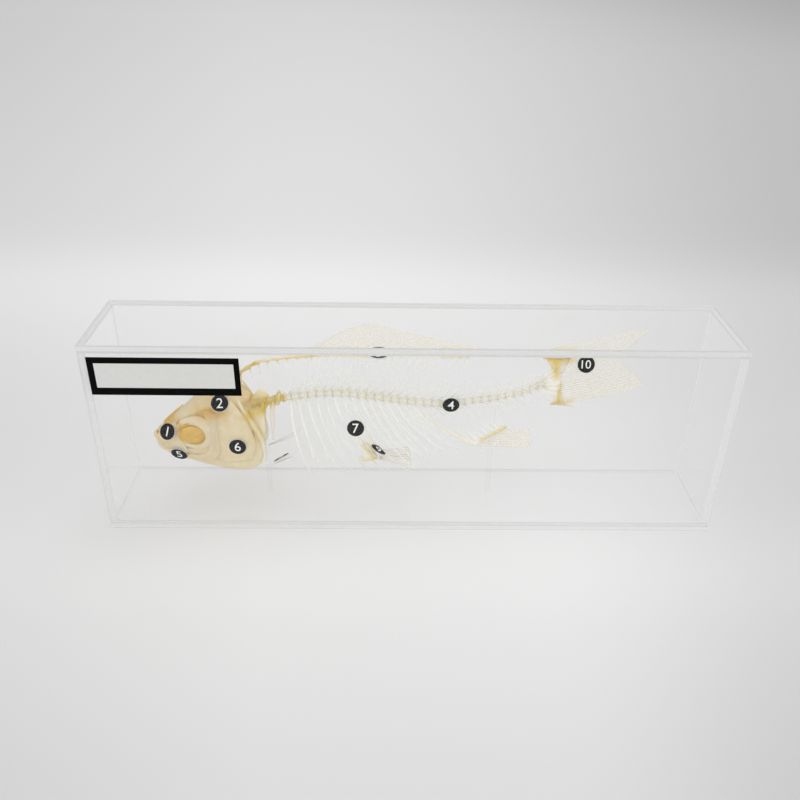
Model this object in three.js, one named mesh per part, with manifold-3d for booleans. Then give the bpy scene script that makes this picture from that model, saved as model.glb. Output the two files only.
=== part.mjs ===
// Mounted skeleton of a young common carp (Cyprinus carpio), 245 mm from snout to tail tip, in a clear
// acrylic case with a printed label and ten number discs. Millimetres, +Z up, snout towards -X, the
// fish's left side and the case's front towards -Y. The origin is the middle of the case's underside.
import * as THREE from "three";
import { mergeVertices } from "three/addons/utils/BufferGeometryUtils.js";
import Module from "manifold-3d";

const wasm = await Module();
wasm.setup();

// Driving dimensions.
const CASE = { length: 300, depth: 51, height: 101.5, wall: 3.2, glue: 0.1 };
const LABEL = { width: 67.5, height: 19, thickness: 0.4, paste: 0.1, fromLeft: 4, fromTop: 5.5 };
const DISC = { diameter: 8.5, thickness: 0.6, sides: 10 };
const ROD = { diameter: 2.4, sides: 12, clear: 0.4 };
const FISH_BACK = 3; // the fish's middle plane lies this far behind the middle of the case
const CUT = 0.3; // the parting gap between two bones that meet
const FIN = 0.5; // thickness of a dried fin
const PLATE = 0.8; // thickness of the flat bones of the head
const VERTEBRAE = { count: 36, fused: 4, lastRib: 20, end: 1.8, waist: 1.25, sides: 5 };
const RIBS = { pairs: 15, radius: 0.5 };
const EYE = { x: -107.7, z: 45.4, radius: 6, ring: 7.9, ringHalf: 1.4 };

// The vertebral column, the back's ridge and the anal fin's base, as side-view places on the middle plane.
const COLUMN = curve(
  [-79.5, 0, 57],
  [-66, 0, 59.8],
  [-50, 0, 62.5],
  [-35, 0, 63.2],
  [-18, 0, 61.3],
  [0, 0, 58.8],
  [15, 0, 57.8],
  [30, 0, 59.8],
  [45, 0, 62.5],
  [57, 0, 66.2],
  [65, 0, 70],
);
const NAPE_RIDGE = curve([-81.2, 0, 76], [-76.5, 0, 79.2], [-63, 0, 82.3], [-49.5, 0, 83.5]);
const FIN_RIDGE = { front: -48.5, back: 27, z: 83.8 };
const ANAL_BASE = { front: [32, 33.6], back: [47.5, 44] };

const BONE = { color: 0xf2ead3, roughness: 0.55 };
const AMBER_BONE = { color: 0xe3bd6c, roughness: 0.5 };
const DRIED_FIN = { color: 0xe9e2cb, roughness: 0.6 };
const CLEAR = { color: 0xf2f6f6, roughness: 0.05, transparent: true, opacity: 0.25 };

// A smooth curve through places given as [x, y, z].
function curve(...places) {
  return new THREE.CatmullRomCurve3(places.map((p) => new THREE.Vector3(...p)));
}

// The height of a graph of straight stretches through [place, value] pairs.
function along(pairs, x) {
  const next = pairs.findIndex((p) => p[0] >= x);
  if (next === 0) return pairs[0][1];
  if (next < 0) return pairs.at(-1)[1];
  const [a, b] = [pairs[next - 1], pairs[next]];
  return THREE.MathUtils.mapLinear(x, a[0], b[0], a[1], b[1]);
}

// Moves every vertex of a geometry to the place that a function gives for it.
function shaped(geometry, place) {
  const at = geometry.attributes.position;
  for (let i = 0; i < at.count; i++) {
    const p = place(at.getX(i), at.getY(i), at.getZ(i));
    at.setXYZ(i, p.x, p.y, p.z);
  }
  return solid(geometry);
}

// A closed geometry as a solid with its faces turned outwards.
function solid(geometry) {
  geometry.deleteAttribute("normal");
  geometry.deleteAttribute("uv");
  const merged = mergeVertices(geometry, 1e-4);
  const triVerts = new Uint32Array(merged.index.array);
  const vertProperties = merged.attributes.position.array;
  const made = new wasm.Manifold(new wasm.Mesh({ numProp: 3, vertProperties, triVerts }));
  if (made.volume() > 0) return made;
  triVerts.reverse();
  return new wasm.Manifold(new wasm.Mesh({ numProp: 3, vertProperties, triVerts }));
}

// One solid from several that run into each other.
function joined(...solids) {
  return wasm.Manifold.union(solids.flat());
}

// A bone along a curve, with an oval section whose half width lies along the across direction.
function bone(path, radius, { wide = () => 1, sides = 6, steps = 8, across = [0, 1, 0] } = {}) {
  const sideways = new THREE.Vector3(...across);
  return shaped(new THREE.CylinderGeometry(1, 1, 1, sides, steps), (x, y, z) => {
    const t = 0.5 - y;
    const tangent = path.getTangentAt(t);
    const side = sideways.clone().addScaledVector(tangent, -sideways.dot(tangent)).normalize();
    const up = tangent.clone().cross(side);
    const r = radius(t);
    return path.getPointAt(t).addScaledVector(side, x * r * wide(t)).addScaledVector(up, z * r);
  });
}

// A thin straight bone that tapers from one end to the other.
function spine(from, to, thick, thin, sides = 3) {
  const line = new THREE.LineCurve3(new THREE.Vector3(...from), new THREE.Vector3(...to));
  return bone(line, (t) => THREE.MathUtils.lerp(thick, thin, t), { sides, steps: 1 });
}

// A thin plate that follows a surface given by two parameters from 0 to 1.
function plate(surface, thickness, columns, rows) {
  const step = 0.01;
  return shaped(new THREE.BoxGeometry(1, 1, 1, columns, rows, 1), (x, y, z) => {
    const u = x + 0.5;
    const v = y + 0.5;
    const [a, b] = [THREE.MathUtils.clamp(u, step, 1 - step), THREE.MathUtils.clamp(v, step, 1 - step)];
    const du = surface(a + step, b).sub(surface(a - step, b));
    const dv = surface(a, b + step).sub(surface(a, b - step));
    return surface(u, v).addScaledVector(du.cross(dv).normalize(), z * thickness);
  });
}

// The same solid on the fish's other side.
function mirrored(made) {
  return made.mirror([0, 1, 0]);
}

// A row of count solids made by a function of the place in the row, from 0 to 1.
function row(count, make) {
  return Array.from({ length: count }, (_, i) => make(i / (count - 1), i));
}

// Adds a solid to a group as a mesh with a name and a finish of its own.
function add(group, name, made, finish) {
  const { numProp, numVert, vertProperties, triVerts } = made.getMesh();
  const places = new Float32Array(numVert * 3);
  for (let i = 0; i < numVert; i++) {
    places.set(vertProperties.subarray(i * numProp, i * numProp + 3), i * 3);
  }
  const geometry = new THREE.BufferGeometry();
  geometry.setAttribute("position", new THREE.BufferAttribute(places, 3));
  geometry.setIndex(new THREE.BufferAttribute(triVerts, 1));
  geometry.computeVertexNormals();
  const mesh = new THREE.Mesh(geometry, new THREE.MeshStandardMaterial({ metalness: 0, ...finish }));
  mesh.name = name;
  group.add(mesh);
}

// Adds a left bone as it is and its right twin mirrored.
function addPair(group, name, made, finish) {
  add(group, name + "_left", made, finish);
  add(group, name + "_right", mirrored(made), finish);
}

// ---- The case: six flat acrylic plates, cemented edge to edge, with the label on the front ----

const specimen = new THREE.Group();
specimen.position.y = (LABEL.thickness + LABEL.paste) / 2; // centres the case with its label front to back

// Adds one acrylic plate, given by the middle of its underside and its size.
function addPlate(name, [x, y, z], [length, depth, height]) {
  const box = new THREE.BoxGeometry(length, depth, height);
  box.translate(x, y, z + height / 2);
  add(specimen, name, solid(box), CLEAR);
}

const { length, depth, height, wall, glue } = CASE;
const wallHeight = height - 2 * wall - 2 * glue;
const wallFoot = wall + glue;
const sideY = (depth - wall) / 2;
const endX = (length - wall) / 2;
const endDepth = depth - 2 * wall - 2 * glue;
addPlate("case_base", [0, 0, 0], [length, depth, wall]);
addPlate("case_top", [0, 0, height - wall], [length, depth, wall]);
addPlate("case_front", [0, -sideY, wallFoot], [length, wall, wallHeight]);
addPlate("case_back", [0, sideY, wallFoot], [length, wall, wallHeight]);
addPlate("case_left", [-endX, 0, wallFoot], [wall, endDepth, wallHeight]);
addPlate("case_right", [endX, 0, wallFoot], [wall, endDepth, wallHeight]);

const card = new THREE.BoxGeometry(LABEL.width, LABEL.thickness, LABEL.height);
card.translate(
  -length / 2 + LABEL.fromLeft + LABEL.width / 2,
  -depth / 2 - LABEL.paste - LABEL.thickness / 2,
  height - LABEL.fromTop - LABEL.height / 2,
);
add(specimen, "label", solid(card), { color: 0xe4e6e4, roughness: 0.5 });

const fish = new THREE.Group();
fish.position.y = FISH_BACK;
specimen.add(fish);

// ---- The skull: a closed braincase that narrows to the snout, with a crest behind and two eye hollows ----
// Each as [place along the fish, millimetres].
const SKULL_MIDDLE = [[-126.5, 41.6], [-118.5, 46.4], [-108.5, 53.7], [-95, 59.4], [-80.5, 60]];
const SKULL_HALF_HEIGHT = [[-126.5, 1.2], [-123, 2.8], [-108.5, 5.8], [-95, 8.2], [-86, 8.6], [-80.5, 4]];
const SKULL_HALF_WIDTH = [[-126.5, 2], [-118.5, 5.2], [-108.5, 7.4], [-95, 9], [-87, 9.1], [-80.5, 4.6]];

function makeSkull() {
  const [front, back] = [SKULL_MIDDLE[0][0], SKULL_MIDDLE.at(-1)[0]];
  const braincase = shaped(new THREE.CylinderGeometry(1, 1, 1, 12, 10), (x, y, z) => {
    const at = THREE.MathUtils.mapLinear(y, -0.5, 0.5, front, back);
    const half = along(SKULL_HALF_WIDTH, at);
    return new THREE.Vector3(at, x * half, along(SKULL_MIDDLE, at) + z * along(SKULL_HALF_HEIGHT, at));
  });
  const crest = plate(
    (u, v) => new THREE.Vector3(-98 + 15.5 * u, 0, 65 + (2.5 + 7.5 * u ** 1.5) * v),
    1.2,
    4,
    1,
  );
  const hollow = new THREE.SphereGeometry(1, 10, 8);
  hollow.scale(EYE.radius + 1.2, 7, EYE.radius + 1.2);
  hollow.translate(EYE.x, -11.5, EYE.z + 1.2);
  const left = solid(hollow);
  return joined(braincase, crest).subtract(left).subtract(mirrored(left));
}

// ---- The flat bones of the head, which lie on one rounded surface ----

const HEAD_HALF_WIDTH = [[-131, 3], [-120, 8.2], [-108, 11.2], [-88, 13.6], [-80, 13.6], [-72, 12.4]];
const HEAD_MIDDLE = [[-131, 38], [-120, 40], [-108, 43], [-96, 44], [-72, 44]];
const HEAD_HALF_HEIGHT = [[-131, 6], [-120, 13.5], [-108, 19], [-96, 23.5], [-72, 26]];
const HEAD_ROUNDNESS = 2.6;

// The place on the left of the head's surface, over a side-view place, moved in by a depth.
function onHead(x, z, inwards = 0) {
  const rise = Math.min(Math.abs(z - along(HEAD_MIDDLE, x)) / along(HEAD_HALF_HEIGHT, x), 0.98);
  const half = along(HEAD_HALF_WIDTH, x) * (1 - rise ** HEAD_ROUNDNESS) ** (1 / HEAD_ROUNDNESS);
  return new THREE.Vector3(x, inwards - half, z);
}

// A flat bone with four corners, front-top, back-top, back-bottom and front-bottom, and edges that bulge
// outwards by [front, top, back, bottom].
function cornered([a, b, c, d], [front, top, back, bottom], columns, rows, inwards = 0) {
  return plate(
    (u, v) => {
      const swell = 4 * v * (1 - v) * (back * u - front * (1 - u));
      const lift = 4 * u * (1 - u) * (top * (1 - v) - bottom * v);
      const x = (1 - v) * (a[0] + (b[0] - a[0]) * u) + v * (d[0] + (c[0] - d[0]) * u);
      const z = (1 - v) * (a[1] + (b[1] - a[1]) * u) + v * (d[1] + (c[1] - d[1]) * u);
      return onHead(x + swell, z + lift, inwards);
    },
    PLATE,
    columns,
    rows,
  );
}

// A flat bone in a band along side-view places, with a half width that a function gives.
function band(places, halfWidth, columns) {
  const path = curve(...places.map(([x, z]) => [x, 0, z]));
  return plate(
    (u, v) => {
      const tangent = path.getTangentAt(u);
      const middle = path.getPointAt(u);
      const off = (2 * v - 1) * halfWidth(u);
      return onHead(middle.x - tangent.z * off, middle.z + tangent.x * off);
    },
    PLATE,
    columns,
    1,
  );
}

// The ring of small bones under and beside the eye, open above, with the broad one in front of the eye.
const LACRIMAL = [[-127, 42.6], [-115.2, 52], [-115.4, 38.4], [-125.5, 39]];

function makeEyeRing() {
  const [from, to] = [0.28 * Math.PI, -1.28 * Math.PI];
  const ring = plate(
    (u, v) => {
      const angle = from + (to - from) * u;
      const r = EYE.ring + (2 * v - 1) * EYE.ringHalf;
      return onHead(EYE.x + r * Math.cos(angle), EYE.z + r * Math.sin(angle));
    },
    PLATE,
    12,
    1,
  );
  return joined(ring, cornered(LACRIMAL, [0.5, 1.2, 0, 0.6], 2, 2));
}

// The dried eye, a shallow lens within the ring.
function makeEye() {
  const lens = new THREE.SphereGeometry(1, 12, 6);
  lens.scale(EYE.radius, 1.5, EYE.radius);
  lens.translate(EYE.x, -9.9, EYE.z);
  return solid(lens);
}

add(fish, "skull", makeSkull(), BONE);
addPair(fish, "eye_ring", makeEyeRing(), BONE);
addPair(fish, "eye", makeEye(), AMBER_BONE);
const CHEEK = [[-98.6, 57], [-92, 59], [-94.5, 31], [-112, 33]];
addPair(fish, "cheek", cornered(CHEEK, [-4.8, 0, 0, 0], 3, 4, 1.6), BONE);
const OPERCLE = [[-94, 60], [-84, 62.5], [-77.3, 33.5], [-92.6, 29.6]];
addPair(fish, "opercle", cornered(OPERCLE, [0, 1.5, 4.4, 0.6], 5, 5), BONE);
const PREOPERCLE = [[-96.4, 58], [-96.5, 47], [-97.5, 38], [-102.5, 32.2], [-110.5, 31.8]];
addPair(fish, "preopercle", band(PREOPERCLE, () => 1.6, 8), BONE);
const SUBOPERCLE = [[-91.5, 26.4], [-84, 25.4], [-78, 27.8], [-75.3, 34]];
addPair(fish, "subopercle", band(SUBOPERCLE, (t) => 1.3 + Math.sin(Math.PI * t) * 0.6, 6), BONE);
const INTEROPERCLE = [[-111, 28.2], [-102, 27.2], [-93, 25.9]];
addPair(fish, "interopercle", band(INTEROPERCLE, (t) => 1 + t * 0.5, 5), BONE);

// ---- The jaws: toothless arches, each one bow from cheek to cheek ----

// A bow of bone through places given from the left cheek to the chin, and back along the right side.
function bow(places, halfHeight, wide) {
  const far = places.slice(0, -1).reverse();
  const path = curve(...places, ...far.map(([x, y, z]) => [x, -y, z]));
  const taper = (t) => halfHeight * (0.55 + 0.45 * Math.sin(Math.PI * t));
  return bone(path, taper, { wide: () => wide, sides: 5, steps: 12, across: [0, 1, 0.01] });
}

const UPPER_JAW = [[-117.6, -6.7, 35.2], [-123.6, -5.2, 36.6], [-127.6, -2.6, 38.4], [-128.9, 0, 39]];
const LOWER_JAW = [[-112.4, -7.6, 31], [-118.8, -6.2, 31.6], [-125.2, -3.8, 33.6], [-127.7, 0, 34.4]];
add(fish, "upper_jaw", bow(UPPER_JAW, 1.5, 0.7), BONE);
add(fish, "lower_jaw", bow(LOWER_JAW, 1.7, 0.6), BONE);

// The tongue bone's arm with the three curved rays that close the gill chamber below.
function makeBranchiostegals() {
  const armPath = curve([-115, -2.4, 28.4], [-108, -4.4, 27], [-100, -5.6, 26]);
  const arm = bone(armPath, () => 1.1, { sides: 5, steps: 2 });
  const rays = row(3, (t) =>
    bone(
      curve([-106 + 4 * t, -3.8 - 1.2 * t, 26.2], [-96, -3.4 - 3 * t, 23 + t], [-84, -4 - 3.2 * t, 21.9 + t]),
      (s) => 0.75 - 0.35 * s,
      { wide: () => 1.3, sides: 4, steps: 3 },
    ),
  );
  return joined(arm, rays);
}

addPair(fish, "branchiostegals", makeBranchiostegals(), BONE);

// ---- The vertebral column: hourglass vertebrae with spines, in three lengths ----

// The place on the column where a vertebra of a given number ends, as a share of the column's length.
function vertebraAt(number) {
  return number / VERTEBRAE.count;
}

// A length of the column, from one vertebra's start to another's end.
function centra(first, last, size = () => 1) {
  const [from, to] = [vertebraAt(first) + 0.0012, vertebraAt(last) - 0.0012];
  const stretch = {
    getPointAt: (t) => COLUMN.getPointAt(from + (to - from) * t),
    getTangentAt: (t) => COLUMN.getTangentAt(from + (to - from) * t),
  };
  const steps = 2 * (last - first);
  const radius = (t) => {
    const atEnd = Math.round(t * steps) % 2 === 0;
    return (atEnd ? VERTEBRAE.end : VERTEBRAE.waist) * size(t);
  };
  return bone(stretch, radius, { sides: VERTEBRAE.sides, steps });
}

// The spine on a vertebra, leaning back by an angle in degrees; a negative length hangs below.
function vertebraSpine(number, size, lean, thick = 0.55) {
  const foot = COLUMN.getPointAt(vertebraAt(number - 0.5));
  const slope = THREE.MathUtils.degToRad(lean);
  const start = [foot.x, 0, foot.z + Math.sign(size) * 0.6];
  const tip = [foot.x + Math.abs(size) * Math.sin(slope), 0, foot.z + size * Math.cos(slope)];
  return spine(start, tip, thick, 0.3);
}

// The first four vertebrae, fused, with their broad neural plate and the struts that hang beside the gut.
function makeFrontVertebrae() {
  const neural = plate(
    (u, v) => new THREE.Vector3(-77.5 + 9 * u + 3.5 * v, 0, 58.5 + (11.5 - 2 * u) * v),
    1.2,
    2,
    1,
  );
  const strutPath = curve([-68.5, -1, 59], [-69.2, -3.6, 54], [-69.2, -4.4, 47], [-69.5, -4.2, 38.5]);
  const strut = bone(strutPath, (t) => 1.2 - 0.75 * t, { sides: 4, steps: 3 });
  const process = spine([-74, -0.5, 58.5], [-73, -6.8, 55], 1.1, 0.5, 5);
  const body = centra(0, VERTEBRAE.fused, (t) => 1.5 - 0.3 * t);
  return joined(body, neural, strut, mirrored(strut), process, mirrored(process));
}

// A rib of the left side: it leaves the vertebra sideways, bulges out and sweeps back and in to its tip.
function makeRib(t) {
  const root = COLUMN.getPointAt(vertebraAt(VERTEBRAE.fused + 0.9 + 14.6 * t));
  const bulge = 12.2 - 6.5 * t ** 1.6;
  const tipX = root.x + 9 + 20 * Math.sin(0.62 * Math.PI * t ** 0.8);
  const tipZ = 18.6 + 1.5 * t + 17 * t ** 4;
  const sag = (share) => root.z + (tipZ - root.z) * share;
  const path = curve(
    [root.x, -0.85, root.z - 0.98],
    [root.x + (tipX - root.x) * 0.12, -bulge * 0.72, sag(0.16)],
    [root.x + (tipX - root.x) * 0.4, -bulge, sag(0.46)],
    [tipX - (tipX - root.x) * 0.28, -bulge * 0.86, sag(0.76)],
    [tipX, -bulge * 0.5, tipZ],
  );
  return bone(path, (s) => RIBS.radius * (1.2 - 0.6 * s), { sides: 3, steps: 4 });
}

// The trunk's vertebrae, parted by thin cuts into the spine above and a strip for each side's ribs.
function partTrunk() {
  const whole = centra(VERTEBRAE.fused, VERTEBRAE.lastRib);
  const below = (u, y, z) => COLUMN.getPointAt(0.02 + 0.6 * u).add(new THREE.Vector3(0, y, z - 0.5));
  const level = plate((u, v) => below(u, 8 * v - 4, 0), CUT, 6, 1);
  const upright = plate((u, v) => below(u, 0, -4 * v), CUT, 6, 1);
  const pieces = whole.subtract(joined(level, upright)).decompose();
  const middleY = (piece) => (piece.boundingBox().min[1] + piece.boundingBox().max[1]) / 2;
  pieces.sort((a, b) => middleY(a) - middleY(b));
  return { left: pieces[0], above: pieces[1] };
}

// The spines stand over the trunk, and over and under the tail, where they lean back further and shorten; the
// last few turn up again to brace the tail fin.
const trunk = partTrunk();
const trunkSpines = row(VERTEBRAE.lastRib - VERTEBRAE.fused, (t, i) => {
  const length = 12.5 + 3 * t;
  return vertebraSpine(VERTEBRAE.fused + 1 + i, length, 16 + 14 * t);
});
const TAIL_VERTEBRAE = VERTEBRAE.count - VERTEBRAE.lastRib;
const tailSpines = row(TAIL_VERTEBRAE, (t, i) => {
  const length = 15.5 - 7 * t + 4 * t ** 8;
  return vertebraSpine(VERTEBRAE.lastRib + 1 + i, length, 32 + 14 * t - 26 * t ** 6, 0.5);
});
const bloodSpines = row(TAIL_VERTEBRAE, (t, i) => {
  const length = 12.5 - 4 * t + 3 * t ** 8;
  return vertebraSpine(VERTEBRAE.lastRib + 1 + i, -length, 44 + 10 * t - 10 * t ** 6, 0.5);
});
const tailBody = centra(VERTEBRAE.lastRib, VERTEBRAE.count, (t) => 1 - 0.25 * t);
const ribs = joined(trunk.left, row(RIBS.pairs, makeRib));
add(fish, "spine_front", makeFrontVertebrae(), AMBER_BONE);
add(fish, "spine_trunk", joined(trunk.above, trunkSpines), BONE);
add(fish, "spine_tail", joined(tailBody, tailSpines, bloodSpines), BONE);
addPair(fish, "ribs", ribs, BONE);

// ---- The back's ridge and the dorsal fin ----

// The bar of small bones from the skull to the dorsal fin, with the free spines that hang from it.
function makeNapeRidge() {
  const bar = bone(NAPE_RIDGE, () => 0.9, { wide: () => 0.8, sides: 5, steps: 7 });
  const blades = row(7, (t) => {
    const top = NAPE_RIDGE.getPointAt(0.12 + 0.82 * t);
    return spine([top.x, 0, top.z], [top.x + 1 - 2 * t, 0, top.z - 4.5 - 2.5 * t], 0.7, 0.3);
  });
  return joined(bar, blades);
}

// The dorsal fin's bar with one bearer bone under each ray.
function makeDorsalBearers() {
  const { front, back, z } = FIN_RIDGE;
  const bar = spine([front, 0, z], [back, 0, z], 0.9, 0.8, 5);
  const bearers = row(19, (t) => {
    const x = front + 1 + (back - front - 2) * t;
    return spine([x, 0, z - 0.2], [x - 3.2 + 1.5 * t, 0, z - 7.8 + 1.2 * t], 0.6, 0.3);
  });
  return joined(bar, bearers);
}

// The fin folded back: rays rise at a low angle from the bar and lean over to the fish's right.
function makeDorsalFin() {
  const { front, back, z } = FIN_RIDGE;
  return plate(
    (u, v) => {
      const reach = 30 - 20 * u ** 0.8;
      const rise = 0.9 + 9.8 * (1 - u) ** 1.1;
      const x = front + 0.5 + (back - front - 1) * u + reach * v;
      const up = rise * Math.sin(0.5 * Math.PI * v);
      return new THREE.Vector3(x, 0.6 * up, z + 1.2 + CUT + up);
    },
    FIN,
    14,
    3,
  );
}

add(fish, "nape_ridge", makeNapeRidge(), AMBER_BONE);
add(fish, "dorsal_fin_bearers", makeDorsalBearers(), BONE);
add(fish, "dorsal_fin", makeDorsalFin(), DRIED_FIN);

// ---- The anal fin, below the tail's start ----

// The anal fin's bar, with its bearers and the long first one that reaches up to the column.
function makeAnalBearers() {
  const { front, back } = ANAL_BASE;
  const bar = spine([front[0] - 1, 0, front[1] - 0.7], [back[0], 0, back[1]], 1.2, 0.9, 5);
  const longPath = curve([6.5, 0, 49.6], [16, 0, 43.2], [31.5, 0, 33.4]);
  const long = bone(longPath, (t) => 0.5 + 0.5 * t, { sides: 5, steps: 3 });
  const bearers = row(5, (t) => {
    const foot = [front[0] + (back[0] - front[0]) * t, 0, front[1] + (back[1] - front[1]) * t];
    return spine(foot, [foot[0] - 9 + 3 * t, 0, foot[2] + 9 - 4 * t], 0.7, 0.3);
  });
  return joined(bar, long, bearers);
}

// The anal fin, its rays running back from the bar and slightly down.
function makeAnalFin() {
  const { front, back } = ANAL_BASE;
  return plate(
    (u, v) => {
      const footX = front[0] + (back[0] - front[0]) * u + 1.3;
      const footZ = front[1] + (back[1] - front[1]) * u - 1.7;
      const tipX = 60 + 2 * Math.sin(Math.PI * u);
      const tipZ = 31.8 + 11.5 * u;
      return new THREE.Vector3(footX + (tipX - footX) * v, 0.4 * v, footZ + (tipZ - footZ) * v);
    },
    FIN,
    5,
    2,
  );
}

add(fish, "anal_fin_bearers", makeAnalBearers(), AMBER_BONE);
add(fish, "anal_fin", makeAnalFin(), DRIED_FIN);

// ---- The tail fin on its fan of flat bones ----

// The fan of flat bones behind the last vertebra, as one plate.
function makeTailFan() {
  return plate(
    (u, v) => {
      const spread = THREE.MathUtils.lerp(2.2, 10.4, u ** 0.9);
      return new THREE.Vector3(66.4 + 6 * u, 0, 70.7 + 0.8 * u + spread * (2 * v - 1));
    },
    1.1,
    4,
    6,
  );
}

// A lobe of the tail fin, between its base on the fan and its margin, as [outer, inner] side-view places.
// Its outer edge bulges, and its outer front corner reaches forward over the last vertebrae.
function makeLobe(base, margin, bulge, forward) {
  return plate(
    (u, v) => {
      const at = (pair, axis) => pair[0][axis] + (pair[1][axis] - pair[0][axis]) * u;
      const outwards = bulge * (1 - u) * 4 * v * (1 - v);
      const footX = at(base, 0) - forward * (1 - u) ** 9;
      const x = footX + (at(margin, 0) - footX) * v;
      const z = at(base, 1) + (at(margin, 1) - at(base, 1)) * v + outwards;
      return new THREE.Vector3(x, 2 * v * v, z);
    },
    FIN,
    6,
    3,
  );
}

add(fish, "tail_fan", makeTailFan(), AMBER_BONE);
const UPPER_LOBE = [[[73.7, 84.8], [73.7, 72.2]], [[114.6, 96.4], [102, 82.6]]];
const LOWER_LOBE = [[[73.7, 57.2], [73.7, 71]], [[116.2, 68.2], [102, 81.6]]];
add(fish, "tail_fin_upper", makeLobe(...UPPER_LOBE, 1.5, 10), DRIED_FIN);
add(fish, "tail_fin_lower", makeLobe(...LOWER_LOBE, -1.5, 5), DRIED_FIN);

// ---- The shoulder girdle and the pectoral fins ----

// The shoulder's long curved blade, with the wing that carries the pectoral fin.
function makeCleithrum() {
  const path = curve(
    [-83, -8.6, 69.4],
    [-80.4, -11.4, 66],
    [-76.4, -12.9, 56.6],
    [-72.4, -13, 46],
    [-71.8, -12, 39],
    [-73, -9.6, 29.5],
    [-80, -5.6, 23.6],
  );
  const wing = plate(
    (u, v) => new THREE.Vector3(-72.2 - 2.6 * u, -12 + 3.2 * u + 5 * v, 37 - 8 * u + 3.5 * v * (1 - u)),
    1,
    2,
    2,
  );
  const blade = bone(path, (t) => 0.7 + 0.4 * Math.sin(Math.PI * t), {
    wide: () => 1.3,
    sides: 5,
    steps: 9,
    across: [1, 0, 0],
  });
  return joined(blade, wing);
}

// The pectoral fin, folded back and turned nearly level.
function makePectoralFin() {
  return plate(
    (u, v) => {
      const spread = THREE.MathUtils.degToRad(-15 + 36 * u);
      const reach = 1.5 + 20 * v * (1 - 0.25 * u);
      const out = reach * Math.sin(spread);
      const foot = new THREE.Vector3(-73.6, -9.8, 25.4);
      return foot.add(new THREE.Vector3(0.82 * reach, out - 0.1 * reach, 0.45 * (reach - out)));
    },
    FIN,
    5,
    2,
  );
}

addPair(fish, "cleithrum", makeCleithrum(), AMBER_BONE);
addPair(fish, "pectoral_fin", makePectoralFin(), DRIED_FIN);

// ---- The hip bones and the pelvic fins ----

// A hip bone: two arms that meet behind in the fin's socket, with a thin web between them.
function makeHipBone() {
  const shape = { sides: 5, steps: 2 };
  const upperPath = curve([-28.5, -3.6, 37.2], [-24, -3.2, 33], [-17.6, -3.4, 28]);
  const lowerPath = curve([-26.5, -1.8, 23.6], [-22.5, -2.2, 25], [-17.6, -3.2, 27.6]);
  const upper = bone(upperPath, (t) => 0.6 + 0.6 * t, shape);
  const lower = bone(lowerPath, (t) => 0.8 + 0.3 * t, shape);
  const web = plate(
    (u, v) => new THREE.Vector3(-24.5 + 7 * u, -2.6 - 0.6 * u, 25.6 + 1.6 * u + (7.2 - 6.2 * u) * v),
    0.7,
    2,
    2,
  );
  return joined(upper, lower, web);
}

// The pelvic fin, spread behind the hip bone.
function makePelvicFin() {
  return plate(
    (u, v) => {
      const reach = (18 - 3 * u) * v;
      const slope = THREE.MathUtils.degToRad(-19 + 26 * u);
      const foot = new THREE.Vector3(-16.2, -2.8, 26.2 + 2 * u);
      return foot.add(new THREE.Vector3(reach * Math.cos(slope), -0.04 * reach, reach * Math.sin(slope)));
    },
    FIN,
    4,
    2,
  );
}

addPair(fish, "hip_bone", makeHipBone(), AMBER_BONE);
addPair(fish, "pelvic_fin", makePelvicFin(), DRIED_FIN);

// ---- Ten black number discs, one on each part that the key names ----

// Each disc's middle in the fish's own frame and the way it faces.
const DISC_PLACES = [
  [[-120.7, -9.8, 46.3], [-0.32, -0.8, 0.5]],
  [[-92.7, -11.3, 63.5], [0.05, -0.8, 0.6]],
  [[-16.6, -4.7, 86.6], [0, -0.05, 1]],
  [[19, -3, 58.8], [0, -1, -0.1]],
  [[-116, -9.2, 32.9], [-0.15, -0.95, -0.25]],
  [[-85.4, -14.7, 41], [0.02, -1, 0.03]],
  [[-27.7, -12.9, 51], [0, -0.97, 0.2]],
  [[-65, -10.8, 32], [-0.48, 0.35, 0.8]],
  [[-16.7, -5.4, 33.5], [0.49, 0.04, 0.87]],
  [[83.2, -1.9, 81.3], [0, -0.95, 0.3]],
];

DISC_PLACES.forEach(([place, facing], i) => {
  const disc = new THREE.CylinderGeometry(DISC.diameter / 2, DISC.diameter / 2, DISC.thickness, DISC.sides);
  const turn = new THREE.Quaternion();
  turn.setFromUnitVectors(new THREE.Vector3(0, 1, 0), new THREE.Vector3(...facing).normalize());
  disc.applyQuaternion(turn);
  disc.translate(...place);
  add(fish, "number_disc_" + (i + 1), solid(disc), { color: 0x17171a, roughness: 0.4 });
});

// ---- Two clear rods that hold the skeleton over the base ----

function addRod(name, x, y, top) {
  const foot = wall + glue;
  const rod = new THREE.CylinderGeometry(ROD.diameter / 2, ROD.diameter / 2, top - foot, ROD.sides);
  rod.rotateX(Math.PI / 2);
  rod.translate(x, y, (top + foot) / 2);
  add(fish, name, solid(rod), CLEAR);
}

addRod("rod_front", -73.5, 0, 55.2 - ROD.clear);
addRod("rod_back", 41, 2.2, 59.6 - ROD.clear);

export default specimen;
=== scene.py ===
"""A mounted skeleton of a young carp in its clear acrylic case, with a label and ten number discs."""

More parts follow.
